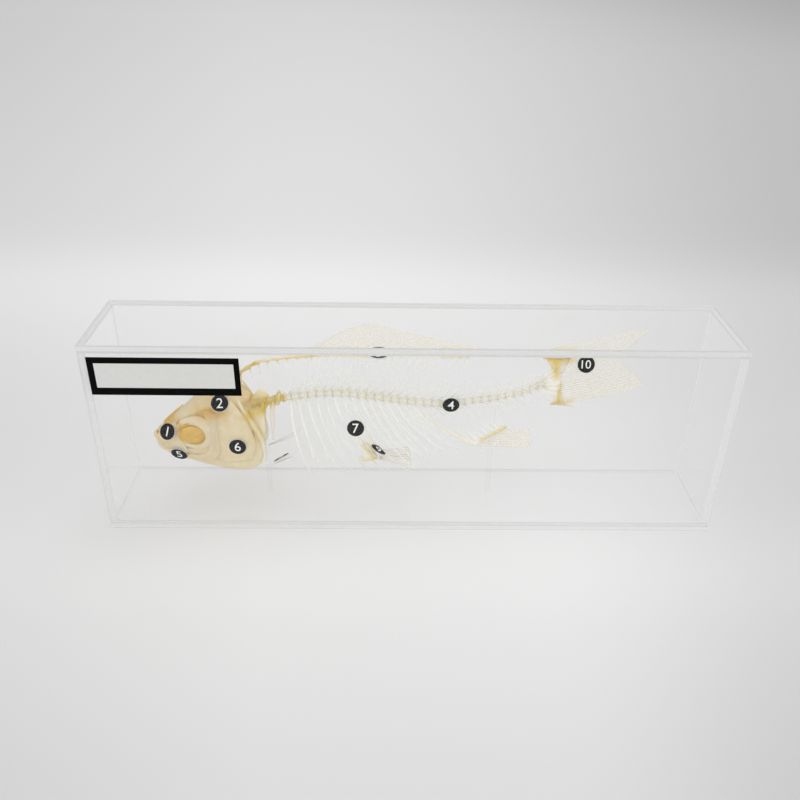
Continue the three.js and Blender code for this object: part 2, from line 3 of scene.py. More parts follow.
import bpy
import numpy as np
from mathutils import Matrix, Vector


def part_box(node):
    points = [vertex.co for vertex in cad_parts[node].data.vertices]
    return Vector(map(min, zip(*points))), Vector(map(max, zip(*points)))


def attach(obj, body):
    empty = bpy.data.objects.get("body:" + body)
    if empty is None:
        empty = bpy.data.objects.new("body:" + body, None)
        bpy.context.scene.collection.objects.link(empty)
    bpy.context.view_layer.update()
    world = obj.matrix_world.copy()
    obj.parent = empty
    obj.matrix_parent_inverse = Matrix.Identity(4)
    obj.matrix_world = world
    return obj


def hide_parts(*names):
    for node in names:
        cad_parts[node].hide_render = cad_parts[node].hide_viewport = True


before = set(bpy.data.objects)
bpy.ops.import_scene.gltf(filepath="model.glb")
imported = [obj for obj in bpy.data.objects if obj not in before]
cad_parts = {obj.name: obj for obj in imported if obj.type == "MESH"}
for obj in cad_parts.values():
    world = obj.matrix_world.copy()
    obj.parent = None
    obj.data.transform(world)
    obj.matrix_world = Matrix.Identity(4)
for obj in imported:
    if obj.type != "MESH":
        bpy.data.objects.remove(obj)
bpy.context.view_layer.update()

# ---- Camera ----
# It looks 30 degrees down on the front of the case, from arm's length and a little left of the middle,
# through a lens of 37 mm on a full frame. The whole case is in the picture, with the paper round it.

CAMERA_AT = (-0.0124, -0.35135, 0.2643)
FRAME_WIDTH, FOCAL_SHARE = 36.0, 825 / 800
pitch, yaw, roll = np.radians([30.09, 1.02, 0.97])
ahead = np.array([np.sin(yaw) * np.cos(pitch), np.cos(yaw) * np.cos(pitch), -np.sin(pitch)])
level_right = np.array([np.cos(yaw), -np.sin(yaw), 0.0])
level_up = np.cross(level_right, ahead)
camera_right = np.cos(roll) * level_right + np.sin(roll) * level_up
camera_up = np.cos(roll) * level_up - np.sin(roll) * level_right

camera_data = bpy.data.cameras.new("camera")
camera_data.sensor_width = FRAME_WIDTH
camera_data.lens = FRAME_WIDTH * FOCAL_SHARE
camera_data.clip_end = 50
camera = bpy.data.objects.new("camera", camera_data)
turn = Matrix(np.column_stack([camera_right, camera_up, -ahead]).tolist()).to_4x4()
camera.matrix_world = Matrix.Translation(CAMERA_AT) @ turn
bpy.context.scene.collection.objects.link(camera)
bpy.context.scene.camera = camera

# ---- Floor and light ----
# A sheet of matt white backdrop paper that runs far behind the case, under three soft lights, from above,
# from the front and from the right behind, in an even pale surround. Light and shade are painted into the
# paper's
# colour: a painted pool of light round the case that fades to the right, a little to the far left and towards
# both ends, and a band of painted shadow from the case to about 10 cm behind it.


def linear(colour):
    """A colour as Blender's linear values, from its sRGB hex: the sRGB curve undone for each channel."""
    value = np.array([int(colour[i : i + 2], 16) for i in (1, 3, 5)]) / 255
    value = np.where(value <= 0.04045, value / 12.92, ((value + 0.055) / 1.055) ** 2.4)
    return (*value.tolist(), 1.0)


def add(material, kind, inputs=None, **settings):
    """Adds a shader node of a kind with its settings, and fills each named or numbered input with a value, or
    links it where it is given a socket or, for its first output, another node."""
    made = material.node_tree.nodes.new("ShaderNode" + kind)
    for name, value in settings.items():
        setattr(made, name, value)
    for name, value in (inputs or {}).items():
        if isinstance(value, bpy.types.Node):
            value = value.outputs[0]
        if isinstance(value, bpy.types.NodeSocket):
            material.node_tree.links.new(value, made.inputs[name])
        else:
            made.inputs[name].default_value = value
    return made


def new_material(name):
    """An empty node material."""
    material = bpy.data.materials.new(name)
    material.use_nodes = True
    material.node_tree.nodes.clear()
    return material


def build(name, parts, *materials, by_face=None, smooth=True):
    """Makes one mesh object from (points, faces) parts, where points are metres in the case's frame and faces
    are lists of corner arrays. by_face gives each face's material, as a number in materials."""
    starts = np.cumsum([0] + [len(points) for points, _ in parts])
    faces = [(block + start).tolist() for (_, blocks), start in zip(parts, starts) for block in blocks]
    mesh = bpy.data.meshes.new(name)
    mesh.from_pydata(np.concatenate([points for points, _ in parts]).tolist(), [], sum(faces, []))
    mesh.polygons.foreach_set("use_smooth", np.full(len(mesh.polygons), smooth))
    for material in materials:
        mesh.materials.append(material)
    if by_face is not None:
        mesh.polygons.foreach_set("material_index", by_face)
    mesh.update()
    piece = bpy.data.objects.new(name, mesh)
    bpy.context.scene.collection.objects.link(piece)
    return piece


PAPER_FRONT, PAPER_BACK, PAPER_SINK = -0.6, 2.6, -0.0004
paper = new_material("matt backdrop paper")
paper_place = add(paper, "TexCoord").outputs["Object"]
paper_at = add(paper, "SeparateXYZ", {0: paper_place}).outputs
paper_run = add(paper, "MapRange", {0: paper_at["Y"], 1: PAPER_FRONT, 2: PAPER_BACK})
painted_light_ramp = add(paper, "ValToRGB", {0: paper_run})
painted_light_ramp.color_ramp.interpolation = "B_SPLINE"
# The ramp paints light and shade along the paper: darker towards the front and the far back as painted falloff
# of the light, and darker from the case to about 10 cm behind it as the case's painted shadow.
for distance, tone in (
    (-0.17, "#dadada"), (-0.09, "#e6e6e6"), (-0.05, "#ececec"), (0.0, "#e2e2e2"),
    (0.1, "#e2e2e2"), (0.2, "#e8e8e8"), (0.3, "#f1f1f1"), (0.4, "#e2e2e2"),
    (0.5, "#e1e1e1"), (1.1, "#dfdfdf"), (2.4, "#e7e7e7"),
):
    share = (distance - PAPER_FRONT) / (PAPER_BACK - PAPER_FRONT)
    painted_light_ramp.color_ramp.elements.new(share).color = linear(tone)
painted_light_ramp.color_ramp.elements[0].color = linear("#d0d0d0")
painted_light_ramp.color_ramp.elements[-1].color = linear("#e7e7e7")
# A painted pool of light: the paper is darkened to the right of the case, more so far behind it, and a little
# at the far left.
pool_from = add(paper, "Math", {0: paper_at["Y"], 1: -0.2}, operation="MAXIMUM")
pool_wide = add(paper, "Math", {0: pool_from, 1: 0.55}, operation="ADD")
pool_side = add(paper, "Math", {0: paper_at["X"], 1: pool_wide}, operation="DIVIDE")
soft = {"interpolation_type": "SMOOTHSTEP"}
pool_near = add(paper, "MapRange", {0: pool_side, 1: 0.12, 2: 0.42, 3: 1.0, 4: 0.8}, **soft)
pool_far = add(paper, "MapRange", {0: pool_side, 1: -0.1, 2: 0.55, 3: 1.0, 4: 0.6}, **soft)
pool_left = add(paper, "MapRange", {0: pool_side, 1: -0.45, 2: -0.15, 3: 0.88, 4: 1.0})
far_off = add(paper, "MapRange", {0: paper_at["Y"], 1: 0.08, 2: 0.35})
pool_right = add(paper, "Mix", {0: far_off, 2: pool_near, 3: pool_far})
painted_pool_of_light = add(paper, "Math", {0: pool_right, 1: pool_left}, operation="MULTIPLY")
painted_light_tone = add(paper, "Mix", {0: 1.0, 6: painted_light_ramp, 7: painted_pool_of_light}, data_type="RGBA", blend_type="MULTIPLY")
paper_shader = add(paper, "BsdfPrincipled", {"Base Color": painted_light_tone.outputs[2], "Roughness": 0.85})
add(paper, "OutputMaterial", {"Surface": paper_shader})

corners = np.array([[x, y, PAPER_SINK] for x, y in ((-9, -6), (9, -6), (9, 16), (-9, 16))])
floor = build("floor", [(corners, [np.array([[0, 1, 2, 3]])])], paper)

world = bpy.data.worlds.new("pale surround")
world.use_nodes = True
world.node_tree.nodes["Background"].inputs["Color"].default_value = linear("#fafafa")
world.node_tree.nodes["Background"].inputs["Strength"].default_value = 0.8
bpy.context.scene.world = world
bpy.context.scene.view_settings.view_transform = "Standard"

LAMPS_FACE = np.array([0, 0, 0.05])
for name, place, watts, size in (
    ("key", (-0.5, -0.4, 2.2), 6.0, 2.0),
    ("front fill", (-0.3, -2.4, 0.9), 17.0, 2.0),
    ("side fill", (1.9, 1.0, 1.5), 12.0, 1.6),
):
    light = bpy.data.lights.new(name, "AREA")
    light.energy = watts
    light.size = size
    lamp = bpy.data.objects.new(name, light)
    back = np.array(place) - LAMPS_FACE
    across = np.cross([0, 0, 1], back)
    across /= np.linalg.norm(across)
    back /= np.linalg.norm(back)
    lamp_turn = Matrix(np.column_stack([across, np.cross(back, across), back]).tolist()).to_4x4()
    lamp.matrix_world = Matrix.Translation(place) @ lamp_turn
    lamp.visible_transmission = False
    bpy.context.scene.collection.objects.link(lamp)

# ---- Case ----
# Six plates of clear cast acrylic, saw-cut, scraped and flamed at their edges and cemented together, round
# two slender clear rods that hold the skeleton. Cast sheet waves by up to 0.02 mm over about 3 cm, which
# bends what is seen through it a little.

ACRYLIC_IOR = 1.49


def clear_acrylic(material, wave, height, finish):
    """The clear body of an acrylic piece: all light goes on through it, and its surface waves, so many times
    to a metre, by a tenth of a height in metres."""
    place = add(material, "TexCoord").outputs["Object"]
    waves = add(material, "TexNoise", {"Vector": place, "Scale": wave, "Detail": 1.0})
    bump = add(material, "Bump", {"Height": waves, "Strength": 0.1, "Distance": height})
    clear = {"Base Color": linear("#ffffff"), "IOR": ACRYLIC_IOR, "Transmission Weight": 1.0}
    return add(material, "BsdfPrincipled", {**clear, "Normal": bump, **finish})


def lamplight_passes(material, body):
    """The end of a plate's material: its body, but for rays on their way to a lamp or from a matt surface,
    which go straight through. So the case lights what is in it as the real one does, and casts no shadow."""
    clear = add(material, "BsdfTransparent")
    ray = add(material, "LightPath").outputs
    passing = add(material, "Math", {0: ray["Is Shadow Ray"], 1: ray["Is Diffuse Ray"]}, operation="MAXIMUM")
    shader = add(material, "MixShader", {0: passing, 1: body, 2: clear})
    add(material, "OutputMaterial", {"Surface": shader})


acrylic = new_material("clear cast acrylic")
sheet_finish = {"Roughness": 0.0, "Specular Tint": linear("#bcbcbc")}
lamplight_passes(acrylic, clear_acrylic(acrylic, 30.0, 0.0002, sheet_finish))


def sawn_edge(name, pale, dark):
    """A plate's sawn edge, scraped and flamed smooth, but milky beside the faces, with saw marks of about a
    millimetre: it scatters half the light it gets back and lets half through."""
    material = new_material(name)
    place = add(material, "TexCoord").outputs["Object"]
    marks = add(material, "TexNoise", {"Vector": place, "Scale": 900.0, "Detail": 3.0})
    tone = add(material, "Mix", {0: marks, 6: linear(pale), 7: linear(dark)}, data_type="RGBA").outputs[2]
    gloss = add(material, "BsdfPrincipled", {"Base Color": tone, "Roughness": 0.25, "IOR": ACRYLIC_IOR})
    glow = add(material, "BsdfTranslucent", {"Color": tone})
    lamplight_passes(material, add(material, "MixShader", {0: 0.5, 1: gloss, 2: glow}))
    return material


sawn = sawn_edge("flame polished acrylic edge", "#f0f0f0", "#e6e6e6")
arris = sawn_edge("scraped acrylic arris", "#e4e4e4", "#dadada")
# The base's lowest arrises in dark grey: a painted contact shadow where the case stands on the paper.
foot = sawn_edge("acrylic arris painted dark as contact shadow", "#a2a2a2", "#969696")


def quads(rows, columns, closed=False):
    """The faces of a grid of points numbered row by row; closed joins its last column to its first."""
    first = np.arange(rows - 1)[:, None] * columns + np.arange(columns if closed else columns - 1)
    after = first + 1
    if closed:
        after[:, -1] -= columns
    return np.stack([first, after, after + columns, first + columns], -1).reshape(-1, 4)


def outward(points, blocks):
    """The part with its faces turned outwards: they are reversed where the volume under them comes out
    negative, summed over each face's triangles from its first corner."""
    total = 0.0
    for block in blocks:
        for i in range(1, block.shape[1] - 1):
            a, b, c = (points[block[:, j]] for j in (0, i, i + 1))
            total += np.einsum("ij,ij->", a, np.cross(b, c))
    return points, blocks if total > 0 else [block[:, ::-1] for block in blocks]


def loft(rings):
    """A closed body through rings of points (rings, around, 3), with both ends closed."""
    count, around = rings.shape[:2]
    caps = np.stack([np.arange(around)[::-1], np.arange(around) + (count - 1) * around])
    return outward(rings.reshape(-1, 3), [quads(count, around, closed=True), caps])


def cut_plate(low, high, cut):
    """A flat plate between two corners with its arrises taken off: four square rings through its thickness,
    the outer two drawn in by the cut."""
    thin = int(np.argmin(high - low))
    wide = [axis for axis in range(3) if axis != thin]
    corner = np.array([[-1, -1], [1, -1], [1, 1], [-1, 1]])
    rings = np.zeros((4, 4, 3))
    for ring, (drawn, depth) in enumerate(((cut, 0), (0, cut), (0, -cut), (cut, 0))):
        half = (high - low)[wide] / 2 - drawn
        rings[ring][:, wide] = (low + high)[wide] / 2 + corner * half
        rings[ring][:, thin] = (low if ring < 2 else high)[thin] + depth
    return loft(rings)


# Level arrises show the scraper's dull cut, upright ones were flamed with the edge, and the lowest four of
# the base, where it stands on the paper, are painted dark grey as a contact shadow.
ARRIS_CUT = 0.0005
FACE, EDGE, SCRAPED, PAINTED_CONTACT_SHADOW = range(4)
for node in ("base", "top", "front", "back", "left", "right"):
    low, high = (np.array(corner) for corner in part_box("case_" + node))
    arrises = [SCRAPED] * 4 if node in ("base", "top") else [SCRAPED, EDGE] * 2
    finishes = ([PAINTED_CONTACT_SHADOW] * 4 if node == "base" else arrises) + [EDGE] * 4 + arrises + [FACE] * 2
    plate = cut_plate(low, high, ARRIS_CUT)
    plate = build("plate_" + node, [plate], acrylic, sawn, arris, foot, by_face=finishes, smooth=False)
    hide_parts("case_" + node)
    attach(plate, "root")

# The rods hardly show: all but 3 parts in 100 of what is behind them is seen unbent.
ROD_UNSEEN = 0.97
rod = new_material("clear extruded acrylic rod")
rod_body = clear_acrylic(rod, 60.0, 0.0001, {"Roughness": 0.02})
rod_clear = add(rod, "BsdfTransparent")
rod_shader = add(rod, "MixShader", {0: ROD_UNSEEN, 1: rod_body, 2: rod_clear})
add(rod, "OutputMaterial", {"Surface": rod_shader})
for node in ("rod_front", "rod_back"):
    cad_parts[node].data.materials.clear()
    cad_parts[node].data.materials.append(rod)

# ---- Label ----
# A card glued to the front plate, of smooth stock whose fibres show as a faint mottle. It is printed with a
# black border round a bare pale field: 3 and 2.5 mm at the ends, 3.8 mm at the foot, 2.9 mm at the top.


def card_stock(name, colour, other, gloss):
    """Smooth printed card: two close tones in a mottle of about 2 mm, with a fine tooth of 0.2 mm."""
    material = new_material(name)
    place = add(material, "TexCoord").outputs["Object"]
    mottle = add(material, "TexNoise", {"Vector": place, "Scale": 500.0, "Detail": 3.0})
    tone = add(material, "Mix", {0: mottle, 6: linear(colour), 7: linear(other)}, data_type="RGBA")
    tooth = add(material, "TexNoise", {"Vector": place, "Scale": 5000.0, "Detail": 2.0})
    bump = add(material, "Bump", {"Height": tooth, "Strength": 0.2, "Distance": 0.00003})
    look = {"Base Color": tone.outputs[2], "Roughness": gloss, "Normal": bump, "Specular IOR Level": 0.05}
    add(material, "OutputMaterial", {"Surface": add(material, "BsdfPrincipled", look)})
    return material


label_field = card_stock("pale label card", "#dcddda", "#d3d4d0", 0.42)
label_border = card_stock("black ink on card", "#030304", "#070708", 0.6)

low, high = (np.array(corner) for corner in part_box("label"))
CARD_RIM = 0.00012
across_x, across_z = (
    np.r_[low[axis] + np.array([0, CARD_RIM, first]), high[axis] - np.array([last, CARD_RIM, 0])]
    for axis, first, last in ((0, 0.003, 0.0025), (2, 0.0038, 0.0029))
)
grid_x, grid_z = np.meshgrid(across_x, across_z, indexing="ij")
edge = np.ones((6, 6))
edge[1:-1, 1:-1] = 0


def rim_quads(rows, columns):
    """The faces that join the edges of two equal grids, the second numbered after the first."""
    number = np.arange(rows * columns).reshape(rows, columns)
    loop = np.concatenate([number[0, :-1], number[:-1, -1], number[-1, :0:-1], number[:0:-1, 0]])
    after = np.roll(loop, -1)
    return np.stack([after, loop, loop + rows * columns, after + rows * columns], -1)


def xyz(x, y, z):
    """Points from their three coordinates, each an array or one number for all."""
    return np.stack(np.broadcast_arrays(x, y, z), -1)


front_face = xyz(grid_x, low[1] + CARD_RIM * edge, grid_z).reshape(-1, 3)
back_face = xyz(grid_x, high[1], grid_z).reshape(-1, 3)
card_faces = [quads(6, 6), quads(6, 6)[:, ::-1] + 36, rim_quads(6, 6)]
card = outward(np.concatenate([front_face, back_face]), card_faces)
inked = np.ones(sum(len(block) for block in card_faces), int)
inked[2 * 5 + 2] = 0  # the middle one of the front's five by five
label = build("label_card", [card], label_field, label_border, by_face=inked)
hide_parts("label")
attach(label, "root")

# ---- Bones: the shared finish ----
# Carp bone, boiled, degreased and dried: creamy, a little translucent, with straw and amber stains where
# gristle and fat have stayed in it. Each piece carries those stains as an attribute.

STAINS = np.array(
    [  # from x, z, to x, z, reach, strength, in millimetres on the side view
        [-124, 45.5, -120, 50.5, 2.6, 0.85],
        [-127, 40, -122, 38, 2.6, 0.15],
        [-114.6, 50.6, -113.4, 47.8, 1.3, 0.6],
        [-104, 57, -92, 58.5, 3.2, 0.55],
        [-97, 64.5, -89, 67.5, 3.6, 0.3],
        [-86, 70, -80.5, 57, 1.6, 0.2],
        [-80.5, 57, -75, 44, 1.6, 0.12],
        [-78.5, 57, -73, 57, 3.0, 0.6],
        [-73, 58, -64, 60.5, 2.4, 0.6],
        [-78, 55, -74.5, 43, 2.8, 0.3],
        [-79, 61, -66, 63, 3.0, 0.35],
        [-85, 73.4, -76.5, 79.3, 1.4, 0.8],
        [-76.5, 79.3, -48, 84.2, 1.2, 0.7],
        [-48, 84.4, -22, 84.4, 1.0, 0.5],
        [-22, 84.4, 14, 84.4, 0.9, 0.15],
        [14, 84.4, 28, 84.4, 1.0, 0.6],
        [-27, 35, -18, 28, 2.4, 0.28],
        [-26, 24, -18, 27, 2.2, 0.32],
        [36, 36.5, 47.5, 44, 1.8, 0.5],
        [8, 48.5, 31, 33.6, 1.4, 0.15],
        [65, 83.4, 75, 83.6, 3.0, 0.75],
        [68.8, 80.5, 70.2, 73.5, 1.7, 0.7],
        [72.2, 69, 72.6, 60, 1.1, 0.6],
        [70.2, 58.6, 79, 59.4, 1.9, 0.5],
    ]
)


def bell(at, middle, width):
    """A bell curve: e to the minus square of the distance from the middle over the width."""
    return np.exp(-(((at - middle) / width) ** 2))


def stain_at(points, base):
    """How stained each point is, from 0 to 1: a base amount, and for each stain a bell curve of the distance
    on the side view to the stretch between its two ends."""
    spot = points[:, None, [0, 2]]
    start, end = STAINS[:, 0:2], STAINS[:, 2:4]
    run = end - start
    share = np.clip(np.sum((spot - start) * run, -1) / np.sum(run**2, -1), 0, 1)
    away = np.linalg.norm(spot - start - share[..., None] * run, axis=-1)
    return np.clip(base + np.sum(STAINS[:, 5] * bell(away, 0, STAINS[:, 4]), -1), 0, 1)


def in_case(points):
    """Points in metres in the case's frame, from millimetres in the fish's own, which stands 3.25 mm behind
    it."""
    return (points + [0, 3.25, 0]) / 1000


def grown(name, parts, node, material, base=0.0):
    """A piece of the skeleton, built from parts in the fish's own frame. It takes the place of its CAD node,
    where it has one, and carries its stains."""
    points = np.concatenate([part[0] for part in parts])
    piece = build(name, [(in_case(part[0]), part[1]) for part in parts], material)
    stains = piece.data.attributes.new("stain", "FLOAT", "POINT")
    stains.data.foreach_set("value", stain_at(points, base).astype(np.float32))
    if node:
        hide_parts(node)
    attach(piece, "root")


def bone_finish(name, pale, straw, amber, roughness, through):
    """Dried bone: a pale tone clouded with straw over about 3 mm, amber where the stain attribute says, pores
    of about 0.4 mm in the bump, and a share of light let through."""
    material = new_material(name)
    place = add(material, "TexCoord").outputs["Object"]
    cloud = add(material, "TexNoise", {"Vector": place, "Scale": 330.0, "Detail": 4.0, "Roughness": 0.6})
    clouded = add(material, "MapRange", {0: cloud, 1: 0.35, 2: 0.75})
    ground = add(material, "Mix", {0: clouded, 6: linear(pale), 7: linear(straw)}, data_type="RGBA")
    stain = add(material, "Attribute", attribute_name="stain").outputs["Fac"]
    uneven = add(material, "MapRange", {0: cloud, 1: 0.2, 2: 0.8, 3: 0.75, 4: 1.2})
    amount = add(material, "Math", {0: stain, 1: uneven}, operation="MULTIPLY", use_clamp=True)
    stained = add(material, "Mix", {0: amount, 6: ground.outputs[2], 7: linear(amber)}, data_type="RGBA")
    tone = stained.outputs[2]
    pores = add(material, "TexNoise", {"Vector": place, "Scale": 2500.0, "Detail": 3.0})
    bump = add(material, "Bump", {"Height": pores, "Strength": 0.35, "Distance": 0.00008})
    gloss = add(material, "MapRange", {0: cloud, 1: 0.2, 2: 0.8, 3: roughness - 0.08, 4: roughness + 0.12})
    look = {"Base Color": tone, "Roughness": gloss, "Normal": bump, "IOR": 1.54}
    surface = add(material, "BsdfPrincipled", look)
    glow = add(material, "BsdfTranslucent", {"Color": tone, "Normal": bump})
    shader = add(material, "MixShader", {0: through, 1: surface, 2: glow})
    add(material, "OutputMaterial", {"Surface": shader})
    return material


bone = bone_finish("dry degreased head bone", "#fcf8e8", "#f8efd0", "#efc95a", 0.5, 0.48)
fine_bone = bone_finish("dry degreased fine bone", "#ffffff", "#fffdf4", "#f1dc78", 0.5, 0.45)


def graph(at, places, values):
    """A smooth graph through the values at the places, held level past its ends: a cubic between two places,
    with the slope at each taken from its two neighbours."""
    places, values = np.array(places, float), np.array(values, float)
    slope = np.gradient(values, places)
    at = np.clip(at, places[0], places[-1])
    i = np.clip(np.searchsorted(places, at) - 1, 0, len(places) - 2)
    gap = places[i + 1] - places[i]
    t = (at - places[i]) / gap
    rising = t * t * (3 - 2 * t)
    bends = gap * t * (1 - t) * ((1 - t) * slope[i] - t * slope[i + 1])
    return (1 - rising) * values[i] + rising * values[i + 1] + bends


def line(places, count):
    """Points evenly spaced on a smooth line through the places: a graph of each coordinate over the run from
    place to place, measured along a fine copy and sampled again at equal lengths."""
    places = np.array(places, float)
    run = np.r_[0, np.cumsum(np.linalg.norm(np.diff(places, axis=0), axis=1))]
    fine = np.linspace(0, run[-1], 300)
    points = np.stack([graph(fine, run, axis) for axis in places.T], -1)
    length = np.r_[0, np.cumsum(np.linalg.norm(np.diff(points, axis=0), axis=1))]
    even = np.interp(np.linspace(0, length[-1], count), length, fine)
    return np.stack([graph(even, run, axis) for axis in places.T], -1)


def unit(vectors):
    """The vectors at length one."""
    return vectors / np.maximum(np.linalg.norm(vectors, axis=-1, keepdims=True), 1e-9)


def rods(lines, radii, sides=6, flat=1.0, across=(0, 1, 0)):
    """Rods carried along lines of shape (rods, steps, 3). At each step a ring of points stands square to the
    line, its radius from radii (rods, steps), flat times as wide along the across direction; both ends are
    closed."""
    lines = np.array(lines, float)
    count, steps = lines.shape[:2]
    radii = np.broadcast_to(radii, (count, steps))[..., None, None]
    tangent = unit(np.gradient(lines, axis=1))
    side = unit(np.array(across, float) - tangent * np.sum(tangent * across, -1, keepdims=True))
    up = np.cross(tangent, side)
    angle = np.linspace(0, 2 * np.pi, sides, endpoint=False)[:, None]
    ring = side[:, :, None] * np.cos(angle) * flat + up[:, :, None] * np.sin(angle)
    points = (lines[:, :, None] + ring * radii).reshape(-1, 3)
    each = np.arange(count)[:, None, None] * steps * sides
    walls = (each + quads(steps, sides, closed=True)).reshape(-1, 4)
    caps = np.stack([np.arange(sides)[::-1], np.arange(sides) + (steps - 1) * sides])
    caps = (each + caps).reshape(-1, sides)
    return outward(points, [walls, caps])


def sheet(surface, thickness):
    """A thin closed plate on a grid of points (rows, columns, 3): two faces half the thickness to each side
    along the grid's normal, joined round the rim."""
    rows, columns = surface.shape[:2]
    normal = unit(np.cross(np.gradient(surface, axis=0), np.gradient(surface, axis=1)))
    half = normal * np.broadcast_to(thickness, (rows, columns))[..., None] / 2
    points = np.concatenate([(surface + half).reshape(-1, 3), (surface - half).reshape(-1, 3)])
    face = quads(rows, columns)
    return outward(points, [face, face[:, ::-1] + rows * columns, rim_quads(rows, columns)])


SHRINKAGE = 2.4


def near_side(part):
    """The part as it is, on the fish's left."""
    return part


def far_side(part):
    """The same part on the fish's other side, whose gill opening has dried a little further forward: a bell
    curve of the place along the fish, up to the shrinkage."""
    points = part[0] * [1, -1, 1]
    points[:, 0] -= SHRINKAGE * bell(points[:, 0], -76, 7)
    return points, [block[:, ::-1] for block in part[1]]


SIDES = (("left", near_side), ("right", far_side))


def grid(rows, columns):
    """Two parameters from 0 to 1 over a grid."""
    return np.meshgrid(np.linspace(0, 1, rows), np.linspace(0, 1, columns), indexing="ij")


def thinned(u, v, middle, rim=0.3):
    """A plate's thickness: its middle value, falling to a rim share along a rounded edge."""
    edge = np.clip(16 * u * (1 - u) * v * (1 - v) * 3, 0, 1)
    return middle * (rim + (1 - rim) * np.sqrt(edge))


# ---- Skull ----
# The braincase and snout, one closed bony box: a smooth roof that narrows to the snout, a shelf over each
# eye, a ridge behind it and a thin crest on the back. The bar below the eyes is the skull's keel.

along, around = grid(72, 49)
along, around = along[:, :-1], around[:, :-1] * 2 * np.pi
skull_x = -126.8 + 46.6 * along
skull_middle = graph(skull_x, [-126.8, -118.5, -108.5, -95, -80.2], [41.4, 46.4, 53.7, 59.4, 60.4])
skull_half = graph(
    skull_x, [-126.8, -123, -114, -108.5, -95, -89, -84.5, -80.2], [0.9, 2.8, 4.5, 5.8, 8.2, 6.9, 4.0, 2.2]
)
skull_wide = graph(skull_x, [-126.8, -118.5, -108.5, -95, -87, -80.2], [1.4, 5.4, 7.8, 9.2, 8.4, 2.8])
high_up = np.sin(around)
by_eye = bell(skull_x, -107.5, 8)
below = 1 / (1 + np.exp(14 * (high_up - 0.12)))
skull_wide *= 1 - 0.15 * by_eye * below
shelf = 0.5 * by_eye * bell(high_up, 0.2, 0.16)
ridge = 0.55 * bell(skull_x, -90, 8) * bell(high_up, 0.25, 0.14)
groove = 0.22 * bell(np.cos(around), 0, 0.07) * (high_up > 0) * np.sin(np.pi * along)
radiating = 0.05 * np.sin(9 * around + 0.35 * skull_x) * np.sin(np.pi * along)
swell = shelf + ridge + radiating
skull_rings = xyz(
    skull_x,
    np.sign(np.cos(around)) * np.abs(np.cos(around)) ** 0.86 * (skull_wide + swell),
    skull_middle + np.sign(high_up) * np.abs(high_up) ** 0.92 * (skull_half + swell - groove),
)
u, v = grid(24, 10)
crest_z = 63.6 + 2.6 * u + (2.6 + 7.2 * u**1.6) * v * (1 - 0.1 * u**8)
crest = sheet(xyz(-98.5 + 14.6 * u + 1.0 * v, 0, crest_z), thinned(u, v, 1.1, 0.35))
keel = rods([line([[-123, 0, 41], [-112, 0, 44.5], [-98, 0, 49.5], [-84, 0, 54]], 16)], 1.1, 8, 0.8)
grown("skull_bones", [loft(skull_rings), crest, keel], "skull", bone, 0.09)

# ---- Eye rings and eyes ----
# Five thin bones round each eye, with the broad tear bone in front. The eye itself has shrunk in drying to an
# amber lens with a wrinkled face, in a thin cup of the same stuff that closes the socket behind it.

EYE_X, EYE_Z, EYE_RADIUS = -107.6, 45.2, 6.5


def on_head(x, z, depth):
    """The left of the head's rounded surface over side-view places, moved in by a depth: a rounded box in
    section, with a half width, middle height and half height given along the head."""
    half_wide = graph(x, [-131, -120, -108, -89, -83, -72], [3, 8.2, 11.2, 13.7, 13.2, 9.6])
    middle = graph(x, [-131, -120, -108, -96, -72], [38, 40, 43, 44, 44])
    half_high = graph(x, [-131, -120, -108, -96, -72], [6, 13.5, 19, 23.5, 26])
    rise = np.minimum(np.abs(z - middle) / half_high, 0.98)
    return xyz(x, depth - half_wide * (1 - rise**2.6) ** (1 / 2.6), z)


def leaf(front, back, thickness, rows=24, columns=24, depth=0.0, relief=None):
    """A flat bone of the head: straight across from a smooth front margin to a back one, both given as
    side-view places from top to bottom, laid on the head's surface with a thickness, and raised by a
    relief."""
    u, v = grid(rows, columns)
    edges = [line([[x, 0, z] for x, z in margin], columns)[None] for margin in (front, back)]
    flat = edges[0] * (1 - u[..., None]) + edges[1] * u[..., None]
    raised = relief(u, v) if relief else 0.0
    return sheet(on_head(flat[..., 0], flat[..., 2], depth - raised), thinned(u, v, thickness))


u, v = grid(97, 9)
ring_angle = np.pi * (0.75 - 2 * u)
ring_turn = np.mod(ring_angle / np.pi + 0.5, 2) - 0.5
ring_brow = bell(ring_turn, 0.4, 0.26)
ring_rear = bell(ring_turn, 0, 0.34)
ring_reach = 6.4 + v * (2.8 + 2.2 * ring_rear + 2.4 * ring_brow) * (0.92 + 0.08 * np.cos(10 * np.pi * u))
canal = 0.1 * bell(v, 0.45, 0.2) * (1 - 0.5 * np.cos(24 * np.pi * u) ** 12)
ring = sheet(
    on_head(
        EYE_X + ring_reach * np.cos(ring_angle),
        EYE_Z + 0.86 * ring_reach * np.sin(ring_angle),
        0.25 * ring_rear * v + 1.7 * ring_brow * v**2 - canal,
    ),
    thinned(u, v, 0.4),
)
tear_bone = leaf(
    [[-125.6, 43.6], [-126.6, 41.4], [-125.8, 38.5], [-124.4, 35.6]],
    [[-116.2, 51.4], [-114.3, 45.5], [-112.6, 39.6], [-110.8, 34.2]],
    0.7,
    relief=lambda u, v: 0.25 * np.sin(np.pi * u) * np.sin(np.pi * v),
)

u, v = grid(12, 49)
cup_reach, cup_angle = 0.4 + 7.2 * u, 2 * np.pi * v
cup_x, cup_z = EYE_X + cup_reach * np.cos(cup_angle), EYE_Z + cup_reach * 0.85 * np.sin(cup_angle)
cup = sheet(xyz(cup_x, -9.2 - 1.3 * u**2, cup_z), 0.5)

